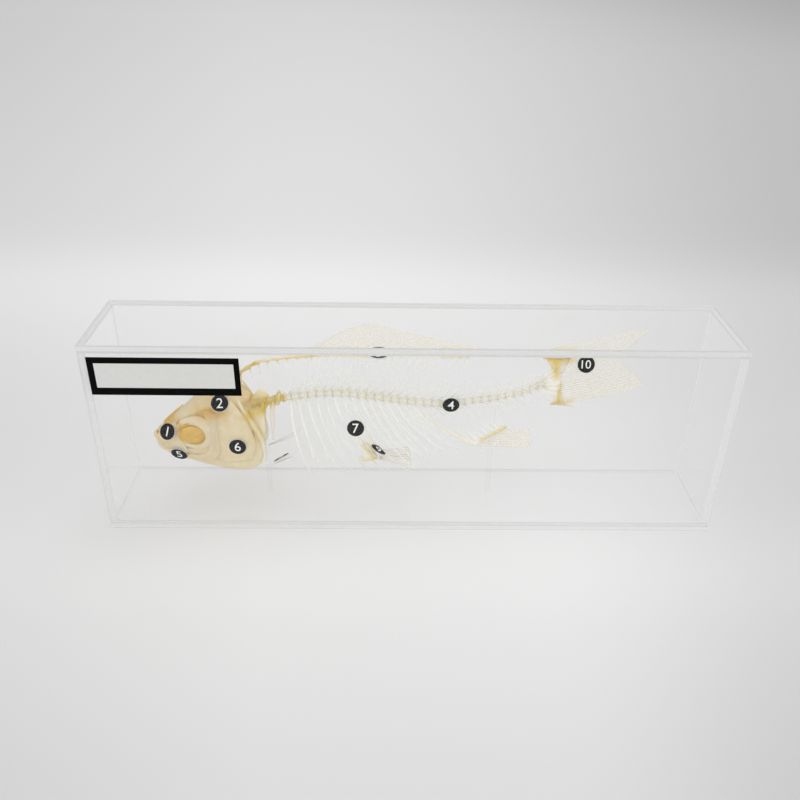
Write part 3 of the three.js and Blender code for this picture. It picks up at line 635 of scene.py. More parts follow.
eye_stuff = bone_finish("dried eye tissue", "#fadc88", "#f0cd68", "#e3b348", 0.32, 0.3)
u, v = grid(40, 49)
u, v = u[:, :-1], v[:, :-1] * 2 * np.pi
rise = np.cos(np.pi * u)
out = np.sin(np.pi * u)
wrinkle = 1 + 0.03 * np.sin(7 * v + 5 * u) * out + 0.02 * np.sin(13 * v - 9 * u)
eye = loft(
    xyz(
        EYE_X + EYE_RADIUS * out * np.cos(v) * wrinkle,
        -10.6 - 1.2 * rise - 0.25 * bell(out, 0.45, 0.2) * (rise > 0) * np.cos(3 * v),
        EYE_Z + EYE_RADIUS * 0.74 * out * np.sin(v) * wrinkle,
    )
)
for side, turned in SIDES:
    socket, dried = [turned(ring), turned(tear_bone)], [turned(eye), turned(cup)]
    grown("orbit_bones_" + side, socket, "eye_ring_" + side, bone, 0.06)
    grown("dried_eye_" + side, dried, "eye_" + side, eye_stuff, 0.3)

# ---- Cheeks and gill covers ----
# Thin overlapping plates that grew outwards from one corner, so fine ribs fan from it and low rings run
# across them. The gill cover is the broadest; the bones below and in front of it frame it.


def fanned(corner_u, corner_v, ribs, height):
    """Relief of a plate that grew from a corner: ribs as waves of the angle round it, and rings as waves of
    the distance from it, a third as high."""

    def relief(u, v):
        angle = np.arctan2(v - corner_v, u - corner_u)
        away = np.hypot(u - corner_u, v - corner_v)
        ribs_here = np.sin(ribs * angle) * np.clip(away * 2, 0, 1)
        return height * (ribs_here + 0.35 * np.sin(26 * away)) * np.sin(np.pi * u) ** 0.3

    return relief


cover_fan = fanned(-0.1, -0.1, 26, 0.1)
gill_cover = leaf(
    [[-96.6, 61.0], [-96.2, 50], [-96.0, 40], [-95.6, 29.6]],
    [[-87.4, 64.4], [-82.2, 57.6], [-78.4, 47.5], [-77.0, 38.5], [-79.6, 30.8]],
    0.75, 56, 56,
    relief=lambda u, v: cover_fan(u, v) - 0.75 * bell(u, 0, 0.13),
)
below_cover = leaf(
    [[-93.6, 29.6], [-86, 31.8], [-80.4, 34], [-77.6, 40], [-77.2, 48]],
    [[-91.6, 25.2], [-84.2, 23.7], [-77.0, 26.0], [-74.4, 33.0], [-74.6, 42], [-77.8, 50]],
    0.6, 20, 56, 0.55,
    relief=fanned(0.5, -0.2, 18, 0.05),
)
before_cover = leaf(
    [[-98.0, 58.2], [-98.2, 47.5], [-99.6, 39.6], [-103.6, 34.2], [-110.8, 33.0]],
    [[-95.0, 58.2], [-94.7, 46], [-94.6, 36.5], [-100.2, 29.8], [-110.4, 30.4]],
    0.7, 18, 60,
    relief=lambda u, v: 0.25 * bell(u, 0.35, 0.16) * (1 - 0.45 * np.cos(7 * np.pi * v) ** 12),
)
between_covers = leaf(
    [[-119.5, 34.2], [-110, 32.4], [-102, 31.4], [-92.4, 31.6]],
    [[-118.5, 30.6], [-110, 27.8], [-102, 25.9], [-91.6, 24.6]],
    0.55, 14, 40, 0.75,
)
cheek = leaf(
    [[-101.4, 58], [-99.8, 50], [-99.8, 43], [-105.5, 37.6], [-121.5, 36.6]],
    [[-91.6, 60], [-92, 47], [-92.6, 36], [-96, 28.6]],
    0.8, 40, 48, 1.05,
    relief=fanned(0.2, -0.1, 12, 0.14),
)
for side, turned in SIDES:
    for name, part, node, base in (
        ("gill_cover_", gill_cover, "opercle_", 0.1),
        ("below_cover_", below_cover, "subopercle_", 0.06),
        ("before_cover_", before_cover, "preopercle_", 0.12),
        ("between_covers_", between_covers, "interopercle_", 0.06),
        ("cheek_bones_", cheek, "cheek_", 0.14),
    ):
        grown(name + side, [turned(part)], node + side, bone, base)

# ---- Jaws and throat ----
# Toothless arches of slim bone from cheek to cheek, flattened where the lips sat, and below them the arm of
# the tongue bone with its three curved rays.

JAW_STEPS = 90


def both_sides(places):
    """A route from the left cheek to the chin, carried on down the right side."""
    places = [list(place) for place in places]
    return places + [[x, -y, z] for x, y, z in places[-2::-1]]


def jaw(places, middle, end):
    """An arch through the places of its left half, thickest at the chin, with a shallow swelling on each
    side."""
    share = np.linspace(-1, 1, JAW_STEPS)
    radius = end + (middle - end) * (1 - np.abs(share) ** 1.6) + 0.2 * np.cos(9 * share) * (1 - share**2)
    return rods([line(both_sides(places), JAW_STEPS)], radius, 12, 0.6, (0, 1, 0.01))


upper_jaw = [
    jaw([[-117.8, -6.9, 35.6], [-123.6, -5.4, 37.2], [-127.8, -2.8, 38.9], [-129.0, 0, 39.4]], 1.35, 0.6),
    jaw([[-116.4, -7.8, 37.8], [-121.6, -6.4, 40.4], [-125.4, -3.4, 41.8], [-126.8, 0, 42]], 0.95, 0.4),
]
lower_jaw = [
    jaw([[-112.4, -7.9, 32], [-119, -6.3, 32.2], [-125.4, -3.9, 33.9], [-127.8, 0, 34.5]], 1.55, 0.8),
]
u, v = grid(20, 8)
for side in (-1, 1):
    jaw_height = 32.2 - 1.6 * u + (3.4 * np.sin(np.pi * u) + 2.6) * v
    web = xyz(-125 + 13.5 * u, side * (3.6 + 4.2 * u**0.8), jaw_height)
    lower_jaw.append(sheet(web, thinned(u, v, 0.8)))
grown("upper_jaw_arch", upper_jaw, "upper_jaw", bone, 0.1)
grown("lower_jaw_arch", lower_jaw, "lower_jaw", bone, 0.1)

throat_arm = rods([line([[-116, -2.2, 28.8], [-108, -4.4, 27.2], [-100, -5.8, 26.2]], 16)], 1.05, 10, 0.7)
throat_lines = [
    line([[4 * t - 106, -3.8 - 1.2 * t, 26.2], [-96, -3.4 - 3 * t, 23 + t], [-84, -4 - 3.2 * t, t + 21.9]], 24)
    for t in (0, 0.5, 1)
]
throat_rays = rods(throat_lines, np.linspace(0.55, 0.25, 24), 8, 2.2)
for side, turned in SIDES:
    throat = [turned(throat_arm), turned(throat_rays)]
    grown("throat_rays_" + side, throat, "branchiostegals_" + side, bone, 0.08)

# ---- Vertebral column ----
# Thirty-six hourglass bones end to end, each with an arch of two legs that meet in a spine over it, and under
# the tail a second one for the blood vessels. The front four have grown together.

VERTEBRAE, FUSED, LAST_RIB, STEPS = 36, 4, 20, 12
COLUMN = line(
    [[-79.5, 0, 57], [-66, 0, 59.8], [-50, 0, 62.5], [-35, 0, 63.2], [-18, 0, 61.3], [0, 0, 58.8]]
    + [[15, 0, 57.8], [30, 0, 59.8], [45, 0, 62.5], [57, 0, 66.2], [65, 0, 70]],
    VERTEBRAE * STEPS + 1,
)


def column_at(number):
    """The place on the column at a vertebra's number, counted from the head."""
    share = np.asarray(number, float) * STEPS
    return np.stack([np.interp(share, np.arange(len(COLUMN)), axis) for axis in COLUMN.T], -1)


def centra(first, last, start_size, end_size):
    """Hourglass bones: the radius swings from a sharp rim at each joint to a waist between, with four low
    ridges round the waist, and a fine gap at each joint."""
    path = COLUMN[first * STEPS : last * STEPS + 1]
    step = np.arange(len(path)) % STEPS
    pinch = np.abs(np.cos(np.pi * step / STEPS)) ** 2.2
    radius = (1.2 + 0.6 * pinch - 0.85 * (step == 0)) * np.linspace(start_size, end_size, len(path))
    radius[[0, -1]] *= 0.6
    tangent = unit(np.gradient(path, axis=0))
    up = np.cross(tangent, [0, -1, 0])
    angle = np.linspace(0, 2 * np.pi, 20, endpoint=False)
    ridged = radius[:, None] * (1 + 0.1 * (1 - pinch[:, None]) * np.cos(4 * angle))
    ring = np.cos(angle)[:, None] * np.array([0, 1, 0]) + np.sin(angle)[:, None] * up[:, None]
    return loft(path[:, None] + ring * ridged[..., None])


def arched_spines(numbers, lengths, leans, thick):
    """Spines on vertebrae: for each, two legs curve up from the sides of the bone to the middle plane, and a
    spine runs on from there at a lean in degrees, bowed back a little. Negative lengths hang below."""
    foot = column_at(numbers - 0.5)
    way = np.sign(lengths)
    slope = np.radians(leans)
    run = xyz(np.abs(lengths) * np.sin(slope), 0, lengths * np.cos(slope))
    bow = xyz(-way * run[:, 2], 0, way * run[:, 0]) * 0.09
    s = np.linspace(0, 1, 12)[None, :, None]
    spine = foot[:, None] + run[:, None] * (0.16 + 0.84 * s) - bow[:, None] * 4 * s * (1 - s)
    parts = [rods(spine, thick * (1.1 - 0.75 * s[..., 0]), 6, 0.8)]
    for side in (-1, 1):
        root = foot + xyz(-0.2, side * 0.95, way * 0.75)
        knee = foot + run * 0.1 + [0, side * 0.85, 0]
        leg = (1 - s) ** 2 * root[:, None] + 2 * s * (1 - s) * knee[:, None] + s**2 * spine[:, 2][:, None]
        parts.append(rods(leg, 0.34 - 0.1 * s[..., 0], 6))
    return parts


def joint_horns(first, last, size, way=1):
    """The short horns that point forward and up, or down, from the front of each vertebra, two to a bone."""
    foot = column_at(np.arange(first, last) + 0.22)
    s = np.linspace(0, 1, 5)[None, :, None]
    parts = []
    for side in (-1, 1):
        tip = np.array([-1.5, 0.35 * side, 1.25 * way]) * size
        start = foot[:, None] + np.array([0.3, 0.7 * side, 0.95 * way]) * size
        horn = start + tip * s + np.array([0, 0, 0.5 * way]) * s**2
        parts.append(rods(horn, 0.3 * (1.1 - 0.7 * s[..., 0]) * size, 5))
    return parts


def joint_stain(parts, base, more):
    """The column's own stain at each point: a base amount, and on the bones more towards each joint, as a
    power of a cosine along the column."""
    points = np.concatenate([part[0] for part in parts])
    step = np.interp(points[:, 0], COLUMN[:, 0], np.arange(len(COLUMN)))
    height = np.interp(points[:, 0], COLUMN[:, 0], COLUMN[:, 2])
    on_bone = np.hypot(points[:, 1], points[:, 2] - height) < 2.6
    return base + more * on_bone * np.cos(np.pi * step / STEPS) ** 4


# The fused bones carry a plate on top and, on each side, two struts down into the gut, a process, a knob
# where the nape's muscle was tied, and a web towards the shoulder.
u, v = grid(20, 16)
neural_z = 59 + 6.4 * np.sin(np.pi * (0.12 + 0.76 * u)) ** 0.8 * v
neural_plate = sheet(xyz(-80.5 + 8.5 * u + 2.5 * v - 1.2 * u * v, 0, neural_z), thinned(u, v, 0.8, 0.35))
side_parts = [
    rods([line(places, steps)], np.linspace(thick, thin, steps), 8, wide)
    for places, steps, thick, thin, wide in (
        ([[-68.5, -1, 59], [-69.2, -3.6, 54], [-69.2, -4.4, 47], [-69.5, -4.2, 38.5]], 30, 1.15, 0.4, 0.7),
        ([[-71.5, -1, 58.6], [-72.6, -4.6, 55.6], [-73.6, -6.2, 51.5]], 18, 0.9, 0.35, 0.8),
        ([[-74, -0.5, 58.5], [-73.6, -3.8, 57.4], [-73, -6.8, 55]], 14, 1.1, 0.4, 1.0),
        ([[-66.8, -1.2, 57.6], [-66, -1.8, 60.5], [-65.4, -1.0, 63.4]], 14, 1.35, 0.7, 1.0),
    )
]
u, v = grid(14, 20)
web_front, web_back = -80.5 + 5.2 * v, -72.8 - 0.8 * v + 0.9 * np.sin(np.pi * v)
side_web = xyz(web_front * (1 - u) + web_back * u, -7.6 - 2.2 * v + 0.6 * np.sin(np.pi * u), 57.6 - 17.5 * v)
side_parts.append(sheet(side_web, thinned(u, v, 0.7, 0.4)))
front_parts = [centra(0, FUSED, 1.5, 1.22), neural_plate]
front_parts += [turned(part) for part in side_parts for _, turned in SIDES]
grown("front_vertebrae", front_parts, "spine_front", fine_bone, 0.08)

trunk_share = np.linspace(0, 1, LAST_RIB - FUSED)
trunk = [centra(FUSED, LAST_RIB, 1.2, 1.1)]
trunk += joint_horns(FUSED, LAST_RIB, 1.15) + joint_horns(FUSED, LAST_RIB, 1.0, -1)
trunk_numbers = np.arange(FUSED, LAST_RIB) + 1
trunk += arched_spines(trunk_numbers, 12.5 + 3 * trunk_share, 16 + 14 * trunk_share, 0.42)
grown("trunk_vertebrae", trunk, "spine_trunk", fine_bone, joint_stain(trunk, 0.03, 0.2))

tail_share = np.linspace(0, 1, VERTEBRAE - LAST_RIB)
tail_numbers = np.arange(LAST_RIB, VERTEBRAE) + 1
tail = [centra(LAST_RIB, VERTEBRAE, 1.1, 0.8), *joint_horns(LAST_RIB, VERTEBRAE, 0.85)]
upper = 15.5 - 7 * tail_share + 4 * tail_share**8
lower = 12.5 - 4 * tail_share + 3 * tail_share**8
tail += arched_spines(tail_numbers, upper, 32 + 14 * tail_share - 26 * tail_share**6, 0.38)
tail += arched_spines(tail_numbers, -lower, 44 + 10 * tail_share - 10 * tail_share**6, 0.38)
grown("tail_vertebrae", tail, "spine_tail", fine_bone, joint_stain(tail, 0.02, 0.18))

# ---- Ribs ----
# Fifteen pairs, slim, springy and a little flattened, each of its own thickness, the first the stoutest. Each
# leaves its vertebra sideways, bulges out round the gut, sweeps back and in, and tapers to its tip.

RIBS, RIB_STEPS = 15, 44
ribs = []
strays = np.random.default_rng(7).normal(0, 1, (RIBS, 3)) * [1.3, 0.8, 0.4]
for share, stray in zip(np.linspace(0, 1, RIBS), strays):
    x, _, z = column_at(FUSED + 0.9 + 14.6 * share)
    bulge = 12.2 - 6.5 * share**1.6 + stray[2]
    tip_x = x + 9 + 20 * np.sin(0.62 * np.pi * share**0.8) + stray[0]
    tip_z = 18.9 + 1.5 * share + 17 * share**4 + np.abs(stray[1])
    back, down = tip_x - x, tip_z - z
    route = [
        [x, -0.85, z - 0.9],
        [x + back * 0.12, -bulge * 0.72, z + down * 0.16],
        [x + back * 0.4, -bulge, z + down * 0.46],
        [tip_x - back * 0.28, -bulge * 0.86, z + down * 0.76],
        [tip_x, -bulge * 0.5, tip_z],
    ]
    ribs.append(line(route, RIB_STEPS))
rib_size = np.random.default_rng(11).uniform(0.6, 1.15, RIBS)
rib_size[0] = 1.5
rib_cage = rods(np.array(ribs), rib_size[:, None] * np.linspace(0.52, 0.2, RIB_STEPS), 8, 0.75)
for side, turned in SIDES:
    grown("rib_cage_" + side, [turned(rib_cage)], "ribs_" + side, fine_bone)

# ---- Bones between the muscles ----
# Hair-thin free bones that lay in the flesh, left in place on each side: a row above the column, two to a
# vertebra, and one below it behind the ribs, all slanting back.

HAIR_STEPS = 10
hair = np.linspace(0, 1, HAIR_STEPS)[:, None]
hairs = []
curl = hair * (1 - hair) * 2
for number in np.arange(5, 35, 0.5):
    root = column_at(number)
    reach = 1 - 0.45 * (number > 24) * (number - 24) / 11
    upper = np.array([8.5, -3.4, 8.6]) * reach
    hairs.append(root + [0.5, -1.2, 2.4] + upper * hair + np.array([1.6, -1.4, -1.0]) * curl)
    if number >= 18:
        lower = np.array([8.8, -2.8, -6.2]) * reach
        hairs.append(root + [0.5, -1.2, -2.2] + lower * hair + np.array([0.6, -1.0, 1.2]) * curl)
hair_bones = rods(np.array(hairs), np.linspace(0.14, 0.07, HAIR_STEPS), 5)
grown("muscle_bones", [hair_bones, far_side(hair_bones)], None, fine_bone)

# ---- Ridge of the nape and back ----
# A row of small flat bones from the skull to the dorsal fin, grown into one bar, then the bar under the fin
# with one bearer below each ray. Gristle dried along it is the yellowest part of the back.

NAPE = [[-84.6, 0, 73.6], [-81.2, 0, 76.2], [-76.5, 0, 79.2], [-63, 0, 82.3], [-49.5, 0, 83.5]]
NAPE_STEPS = 60
nape_line = line(NAPE, NAPE_STEPS)
nape_swell = 0.16 * np.cos(np.linspace(0, 14 * np.pi, NAPE_STEPS))
nape = [rods([nape_line], np.linspace(1.0, 0.72, NAPE_STEPS) + nape_swell, 10, 0.8)]
for share in np.linspace(0.2, 0.96, 7):
    top = nape_line[int(share * (NAPE_STEPS - 1))]
    u, v = grid(8, 14)
    blade = xyz(top[0] + (2 * u - 1) * (0.5 - 0.35 * v) + (1 - 2 * share) * v, 0, top[2] - 6.6 * v)
    nape.append(sheet(blade, thinned(u, v, 0.4, 0.4)))
grown("nape_ridge_bones", nape, "nape_ridge", fine_bone)

RIDGE_FRONT, RIDGE_BACK, RIDGE_Z, DORSAL_RAYS = -49.5, 27.0, 83.8, 20
ridge_line = line([[RIDGE_FRONT, 0, RIDGE_Z], [0, 0, RIDGE_Z + 0.1], [RIDGE_BACK, 0, RIDGE_Z]], 120)
bearer_x = np.linspace(RIDGE_FRONT + 1, RIDGE_BACK - 1, DORSAL_RAYS)[:, None]
s = np.linspace(0, 1, 14)[None]
share = np.linspace(0, 1, DORSAL_RAYS)[:, None]
bearers = xyz(
    bearer_x - (3.2 - 1.5 * share) * s + 0.5 * np.sin(np.pi * s), 0, RIDGE_Z - 0.2 - (9.4 - 2.0 * share) * s
)
dorsal_base = [
    rods([ridge_line], 0.72 + 0.14 * np.cos(np.linspace(0, 40 * np.pi, 120)), 10),
    rods(bearers, 0.4 * (1 - s) ** 0.7 + 0.13, 7, 0.55),
]
grown("dorsal_bearers", dorsal_base, "dorsal_fin_bearers", fine_bone)

# ---- Fins: the shared finish ----
# Dried fin skin is thin and clear as parchment, creased between the rays. The rays are jointed rods of bone
# that part into finer ones towards the margin.

fin_skin = new_material("dried fin skin")
skin_place = add(fin_skin, "TexCoord").outputs["Object"]
skin_cloud = add(fin_skin, "TexNoise", {"Vector": skin_place, "Scale": 250.0, "Detail": 4.0})
skin_stain = add(fin_skin, "Attribute", attribute_name="stain").outputs["Fac"]
skin_tones = {0: skin_cloud, 6: linear("#fffcf4"), 7: linear("#fbf5e4")}
skin_pale = add(fin_skin, "Mix", skin_tones, data_type="RGBA")
skin_tones = {0: skin_stain, 6: skin_pale.outputs[2], 7: linear("#f0d67c")}
skin_tone = add(fin_skin, "Mix", skin_tones, data_type="RGBA").outputs[2]
skin_crease = add(fin_skin, "TexNoise", {"Vector": skin_place, "Scale": 1800.0, "Detail": 3.0})
skin_bump = add(fin_skin, "Bump", {"Height": skin_crease, "Strength": 0.4, "Distance": 0.0001})
skin_gloss = add(fin_skin, "BsdfPrincipled", {"Base Color": skin_tone, "Roughness": 0.4, "Normal": skin_bump})
skin_glow = add(fin_skin, "BsdfTranslucent", {"Color": skin_tone})
skin_body = add(fin_skin, "MixShader", {0: 0.55, 1: skin_gloss, 2: skin_glow})
skin_thick = add(fin_skin, "MapRange", {0: skin_cloud, 1: 0.3, 2: 0.7, 3: 0.13, 4: 0.26})
skin_share = add(fin_skin, "Math", {0: skin_stain, 1: 0.55, 2: skin_thick}, operation="MULTIPLY_ADD")
skin_clear = add(fin_skin, "BsdfTransparent")
skin_shader = add(fin_skin, "MixShader", {0: skin_share, 1: skin_clear, 2: skin_body})
add(fin_skin, "OutputMaterial", {"Surface": skin_shader})

SKIN_WALL, FINE_RAY = 0.07, 0.07


def fin(surface, rays, thick, branches=4, split=0.45, steps=28, columns=160, sag=0.16):
    """A fin on a surface given by (across, outward) from 0 to 1: rays run outward at even places across it,
    each a bundle that parts beyond the split, and a skin between them bulges to one side or the other, by up
    to the sag, and is nicked at its margin."""
    place = np.linspace(0.004, 0.996, rays)
    out = np.linspace(0, 1, steps)
    bundle = (np.arange(branches) - (branches - 1) / 2) / branches * 0.8 / rays
    opened = np.clip((out - split) / (1 - split), 0, 1) ** 1.3
    across = np.clip(place[:, None, None] + bundle[None, :, None] * opened, 0, 1)
    across = across.reshape(-1, steps)
    lines = surface(across, np.broadcast_to(out, across.shape))
    joints = 1 + 0.03 * np.sign(np.sin(out * 95))
    radius = thick * (1 - 0.72 * out**0.8) * joints * (1 - 0.35 * opened)
    u, v = grid(columns, 20)
    between = np.sin(np.pi * (u * (rays - 1))) ** 2
    skin = surface(u, v * (1 - 0.03 * between))
    normal = unit(np.cross(np.gradient(skin, axis=0), np.gradient(skin, axis=1)))
    skin = skin + normal * (sag * between * np.sin(np.pi * v * 0.9) * np.cos(7 * u + 3 * v))[..., None]
    return rods(lines, radius, 5), sheet(skin, SKIN_WALL)


def fin_piece(name, surface, rays, thick, node, base=0.0, turned=near_side, extra=(), **shape):
    """A fin as two pieces: its skin, and its rays, which take up less stain and stand for the CAD node."""
    ray_rods, skin = fin(surface, rays, thick, **shape)
    bones = [turned(part) for part in (ray_rods, *extra)]
    grown(name + "_rays", bones, node, fine_bone, 0.3 * base)
    grown(name + "_skin", [turned(skin)], None, fin_skin, base)


def dorsal_surface(u, v):
    """The dorsal fin folded back: rays rise at a low angle from the bar and lean over to the right."""
    reach = 30 - 20 * u**0.8
    up = (0.9 + 9.8 * (1 - u) ** 1.1) * np.sin(0.5 * np.pi * v)
    x = RIDGE_FRONT + 0.5 + (RIDGE_BACK - RIDGE_FRONT - 1) * u + reach * v
    return xyz(x, 0.6 * up, RIDGE_Z + 0.9 + up)


# The first ray is a stout spur, saw-toothed behind.
spur_out = np.linspace(0, 0.93, 60)
spur_thick = (0.62 - 0.45 * spur_out) * (1 + 0.16 * np.sign(np.sin(spur_out * 150)))
spur = rods([dorsal_surface(np.zeros(60), spur_out)], spur_thick, 8)
fin_piece("dorsal_fin", dorsal_surface, DORSAL_RAYS, FINE_RAY, "dorsal_fin", 0.14, branches=3, extra=[spur])

# ---- Anal fin ----
# A short fin below the start of the tail. A bar carries it, with bearers between the tail's lower spines and
# one long bearer that reaches up to the column.

ANAL_FRONT, ANAL_BACK = np.array([32, 0, 33.6]), np.array([47.5, 0, 44.0])
anal_line = line([[30.6, 0, 32.8], [38, 0, 37.8], [47.5, 0, 44]], 60)
long_bearer = line([[6.5, 0, 49.6], [16, 0, 43.2], [31.5, 0, 33.4]], 40)
share = np.linspace(0, 1, 7)[:, None]
s = np.linspace(0, 1, 12)[None, :, None]
anal_foot = ANAL_FRONT + (ANAL_BACK - ANAL_FRONT) * share[..., None]
anal_rods = anal_foot + xyz(-9 + 3 * share, 0, 9 - 4 * share) * s
anal_base = [
    rods([anal_line], 0.95 + 0.12 * np.cos(np.linspace(0, 18 * np.pi, 60)), 10, 0.8),
    rods([long_bearer], np.linspace(0.45, 0.95, 40), 8, 0.6),
    rods(anal_rods, 0.6 * (1 - s[..., 0]) + 0.16, 7, 0.6),
]
grown("anal_bearers", anal_base, "anal_fin_bearers", fine_bone)


def anal_surface(u, v):
    """The anal fin: rays run back from the bar, the front ones slightly down."""
    foot = (ANAL_FRONT + [1.0, 0, -1.4]) + (ANAL_BACK - ANAL_FRONT) * u[..., None]
    tip = xyz(60 + 2 * np.sin(np.pi * u), 0.4, 31.8 + 11.5 * u)
    return foot + (tip - foot) * v[..., None]


fin_piece("anal_fin", anal_surface, 9, FINE_RAY, "anal_fin", 0.12, branches=3, columns=72)

# ---- Tail fin ----
# Six flat bones fan out behind the last vertebra, and the rays of two lobes clasp their rims. The short rays
# at the front of each lobe and the rims of the fan are thick with amber gristle.

fan = []
for number in range(6):
    u, v = grid(14, 10)
    place = (number + 0.06 + 0.88 * v) / 6
    spread = 1.4 + 9.0 * u**0.9
    fan_x = 60.6 + 12 * u - 0.5 * np.abs(2 * place - 1) * u
    fan_z = 68.2 + 3.4 * u**0.7 + spread * (2 * place - 1)
    fan.append(sheet(xyz(fan_x, 0, fan_z), thinned(u, v, 0.8, 0.45)))
for top, bottom, lead, lean in ((84.0, 75.5, 63.8, 4.0), (57.8, 65.5, 69.6, 1.6)):
    u, v = grid(10, 12)
    front, back = lead + lean * (v + 0.35 * v**2), 75.8 - 2.7 * v
    gristle = xyz(front + (back - front) * u, 0, top + (bottom - top) * v)
    fan.append(sheet(gristle, thinned(u, v, 0.5, 0.4)))
grown("tail_fan_bones", fan, "tail_fan", fine_bone, 0.05)


def lobe_surface(foot, margin, bulge, forward):
    """A lobe of the tail fin, from its foot on the fan to its margin, each as [outer, inner] side-view
    places; its outer edge bulges and its outer front corner reaches forward."""
    foot, margin = np.array(foot), np.array(margin)

    def surface(u, v):
        foot_x, foot_z = np.moveaxis(foot[0] + (foot[1] - foot[0]) * u[..., None], -1, 0)
        tip_x, tip_z = np.moveaxis(margin[0] + (margin[1] - margin[0]) * u[..., None], -1, 0)
        foot_x = foot_x - forward * (1 - u) ** 9
        x = foot_x + (tip_x - foot_x) * v
        z = foot_z + (tip_z - foot_z) * v + bulge * (1 - u) * 4 * v * (1 - v)
        return xyz(x, 2 * v * v, z)

    return surface


def short_rays(start, end, count, reach):
    """The stub rays in front of a lobe, from the first vertebra spine back to the fan."""
    s = np.linspace(0, 1, 10)[None, :, None]
    share = np.linspace(0, 1, count)[:, None, None]
    foot = np.array(start, float) + (np.array(end, float) - np.array(start, float)) * share
    return rods(foot + np.array(reach) * (0.5 + share) * s, 0.75 - 0.5 * s[..., 0], 6, 0.8)


upper_lobe = lobe_surface([[72.6, 84.4], [72.4, 72.4]], [[114.6, 96.4], [102, 82.6]], 1.5, 10)
lower_lobe = lobe_surface([[72.6, 57.6], [72.4, 70.8]], [[116.2, 68.2], [102, 81.6]], -1.5, 5)
upper_stubs = short_rays([62.6, 0, 83.4], [70.5, 0, 83.0], 6, [6.5, 0, 1.6])
lower_stubs = short_rays([68.8, 0, 58.3], [72.8, 0, 58.6], 6, [6, 0, -1.3])
for lobe, surface, stubs, base in (
    ("upper", upper_lobe, upper_stubs, 0.09),
    ("lower", lower_lobe, lower_stubs, 0.1),
):
    shape = {"extra": [stubs], "branches": 3, "columns": 96, "steps": 40}
    fin_piece(lobe + "_lobe", surface, 12, FINE_RAY, "tail_fin_" + lobe, base, **shape)

# ---- Shoulder and pectoral fins ----
# A long curved blade hangs from the skull behind each gill cover, with a wing of bone that carries the
# pectoral fin, which is folded back and nearly level.

shoulder_line = line(
    [[-84.4, -9.4, 64.5], [-82.4, -10.9, 60.5], [-79, -11.6, 54.6], [-75.2, -11.4, 46]]
    + [[-73.4, -10.6, 39], [-74, -8.8, 29.5], [-80, -5.6, 23.6]],
    70,
)
shoulder = rods([shoulder_line], 0.5 + 0.4 * np.sin(np.linspace(0, np.pi, 70)), 10, 1.3, (1, 0, 0))
u, v = grid(16, 14)
wing = xyz(-72.8 - 2.2 * u, -10.6 + 2.4 * u + 5 * v, 37 - 8 * u + 3.5 * v * (1 - u))
wing = sheet(wing, thinned(u, v, 0.8, 0.4))


def pectoral_surface(u, v):
    """The pectoral fin: a fan of rays that rise gently backwards, spread from in to out."""
    reach = 1.5 + 20 * v * (1 - 0.25 * u)
    out = reach * np.sin(np.radians(-4 + 13 * u))
    return xyz(-73.6 + 0.82 * reach, -9.8 + out - 0.1 * reach, 25.4 + 0.45 * (reach - out))


for side, turned in SIDES:
    blade, name = [turned(shoulder), turned(wing)], "pectoral_fin_" + side
    grown("shoulder_blade_" + side, blade, "cleithrum_" + side, fine_bone, 0.12)
    fin_piece(name, pectoral_surface, 7, 0.08, name, 0.0, turned, columns=54, branches=2, sag=0)

# ---- Hips and pelvic fins ----
# Two forked bones lie free under the ribs. Their arms meet behind in the socket of the pelvic fin, which
# spreads backwards.

hip_lines = [
    line([[-28.5, -3.6, 37.2], [-24, -3.2, 33], [-17.6, -3.4, 28]], 24),
    line([[-26.5, -1.8, 23.6], [-22.5, -2.2, 25], [-17.6, -3.2, 27.6]], 24),
]
hip_arms = rods(hip_lines, np.linspace(0.45, 1.05, 24), 8)
u, v = grid(16, 16)
hip_web = xyz(-24.5 + 7 * u, -2.6 - 0.6 * u, 25.6 + 1.6 * u + (7.2 - 6.2 * u) * v)
hip_web = sheet(hip_web, thinned(u, v, 0.6, 0.5))


def pelvic_surface(u, v):
    """The pelvic fin: a fan of rays from the hip's socket, from a little below level to a little above."""
    reach = (18 - 3 * u) * v
    slope = np.radians(-19 + 26 * u)
    return xyz(-16.2 + reach * np.cos(slope), -2.8 - 0.04 * reach, 26.2 + 2 * u + reach * np.sin(slope))


for side, turned in SIDES:
    hip, name = [turned(hip_arms), turned(hip_web)], "pelvic_fin_" + side
    grown("hip_arms_" + side, hip, "hip_bone_" + side, fine_bone)
    fin_piece(name, pelvic_surface, 8, 0.13, name, 0.03, turned, columns=48, branches=3)

# ---- Number discs ----
# Punched discs of black card, each glued to the bone it names, printed with a plain white number. The cut
# edge shows the card's pale core.

disc_black = card_stock("black printed card", "#040405", "#0a0a0b", 0.6)
disc_core = card_stock("pale card core", "#d9d8d2", "#cfcec8", 0.6)
number_white = card_stock("white ink on card", "#f4f4f0", "#e9e9e4", 0.5)
DISCS = [
    ((-120.0, -9.8, 46.3), (-0.32, -0.8, 0.5)),
    ((-92.7, -11.3, 63.5), (0.05, -0.8, 0.6)),
    ((-16.6, -4.7, 86.5), (0, 0.1, 1)),
    ((19, -3, 58.8), (0, -1, -0.1)),
    ((-116, -9.2, 32.9), (-0.15, -0.92, -0.36)),
    ((-85.4, -14.7, 41), (0.02, -1, 0.03)),
    ((-27.7, -12.9, 51), (0, -0.97, 0.2)),
    ((-65, -10.8, 32), (-0.48, 0.35, 0.8)),
    ((-16.7, -5.4, 33.5), (0.5, 0.15, 0.83)),
    ((83.2, -1.9, 81.3), (0, -0.95, 0.3)),
]
DISC_RADIUS, DISC_HALF, DISC_SIDES = 4.25, 0.3, 48
ONE_DIGIT, TWO_DIGITS, INK = 6.9, 5.8, 0.03


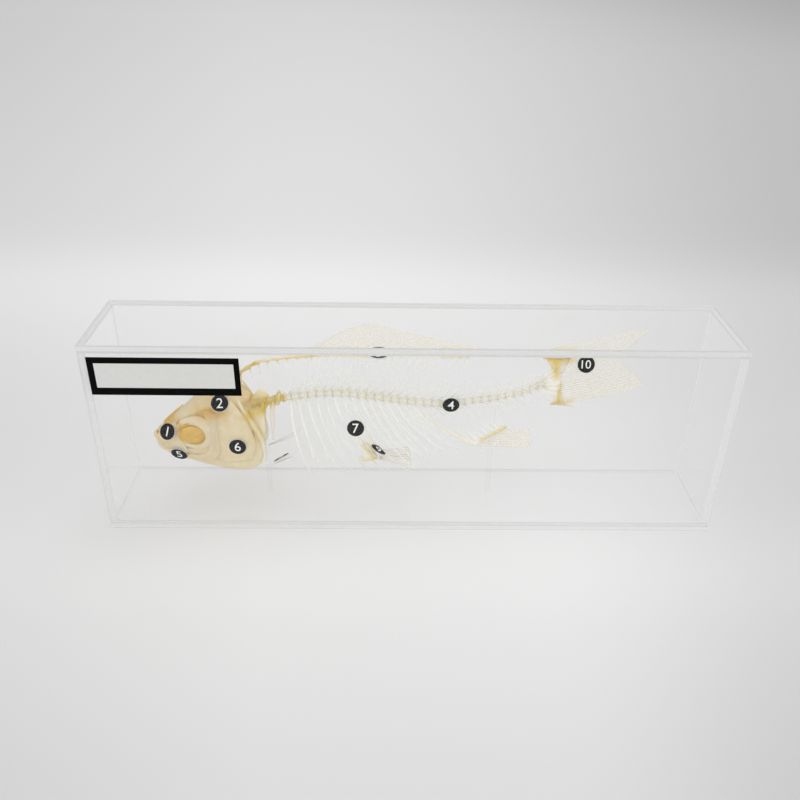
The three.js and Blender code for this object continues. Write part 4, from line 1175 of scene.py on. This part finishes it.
def disc_frame(facing):
    """Right, up and outward directions for a disc: its up is the case's up, or its back where it lies
    flat."""
    out = unit(np.array(facing, float))
    rise = np.array([0, 1, 0.0]) if abs(out[2]) > 0.75 else np.array([0, 0, 1.0])
    right = unit(np.cross(rise, out))
    return np.stack([right, np.cross(out, right), out])


profile = np.array(
    [[0.05, -DISC_HALF], [DISC_RADIUS - 0.15, -DISC_HALF], [DISC_RADIUS, -0.22], [DISC_RADIUS, 0.22]]
    + [[DISC_RADIUS - 0.13, 0.29], [3.0, DISC_HALF], [1.5, DISC_HALF], [0.05, DISC_HALF]]
)
turn_angle = np.linspace(0, 2 * np.pi, DISC_SIDES, endpoint=False)
disc_reach, disc_depth = profile[:, :1], profile[:, 1:]
disc_rings = xyz(disc_reach * np.cos(turn_angle), disc_reach * np.sin(turn_angle), disc_depth)
disc_points, disc_faces = loft(disc_rings)
core_shows = np.zeros(sum(len(block) for block in disc_faces), int)
core_shows[DISC_SIDES : 4 * DISC_SIDES] = 1  # the rim and the bevel on each side of it
for number, (place, facing) in enumerate(DISCS, 1):
    axes = disc_frame(facing)
    turned_disc = (in_case(disc_points @ axes + np.array(place)), disc_faces)
    disc = build("disc_" + str(number), [turned_disc], disc_black, disc_core, by_face=core_shows)
    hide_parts("number_disc_" + str(number))
    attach(disc, "root")

    letters = bpy.data.curves.new("digits_" + str(number), "FONT")
    letters.body = str(number)
    letters.size = ONE_DIGIT if number < 10 else TWO_DIGITS
    letters.extrude = INK
    letters.offset = 0.02
    letters.align_x = "CENTER"
    letters.align_y = "CENTER"
    drawn = bpy.data.objects.new("digits_" + str(number), letters)
    mesh = bpy.data.meshes.new_from_object(drawn)
    bpy.data.objects.remove(drawn)
    at = np.zeros(len(mesh.vertices) * 3)
    mesh.vertices.foreach_get("co", at)
    at = at.reshape(-1, 3)
    at[:, :2] -= (at[:, :2].min(0) + at[:, :2].max(0)) / 2
    at = in_case((at + [0, 0, DISC_HALF + INK]) @ axes + np.array(place))
    mesh.vertices.foreach_set("co", at.ravel())
    mesh.materials.append(number_white)
    mesh.update()
    digits = bpy.data.objects.new("digit_" + str(number), mesh)
    bpy.context.scene.collection.objects.link(digits)
    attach(digits, "root")
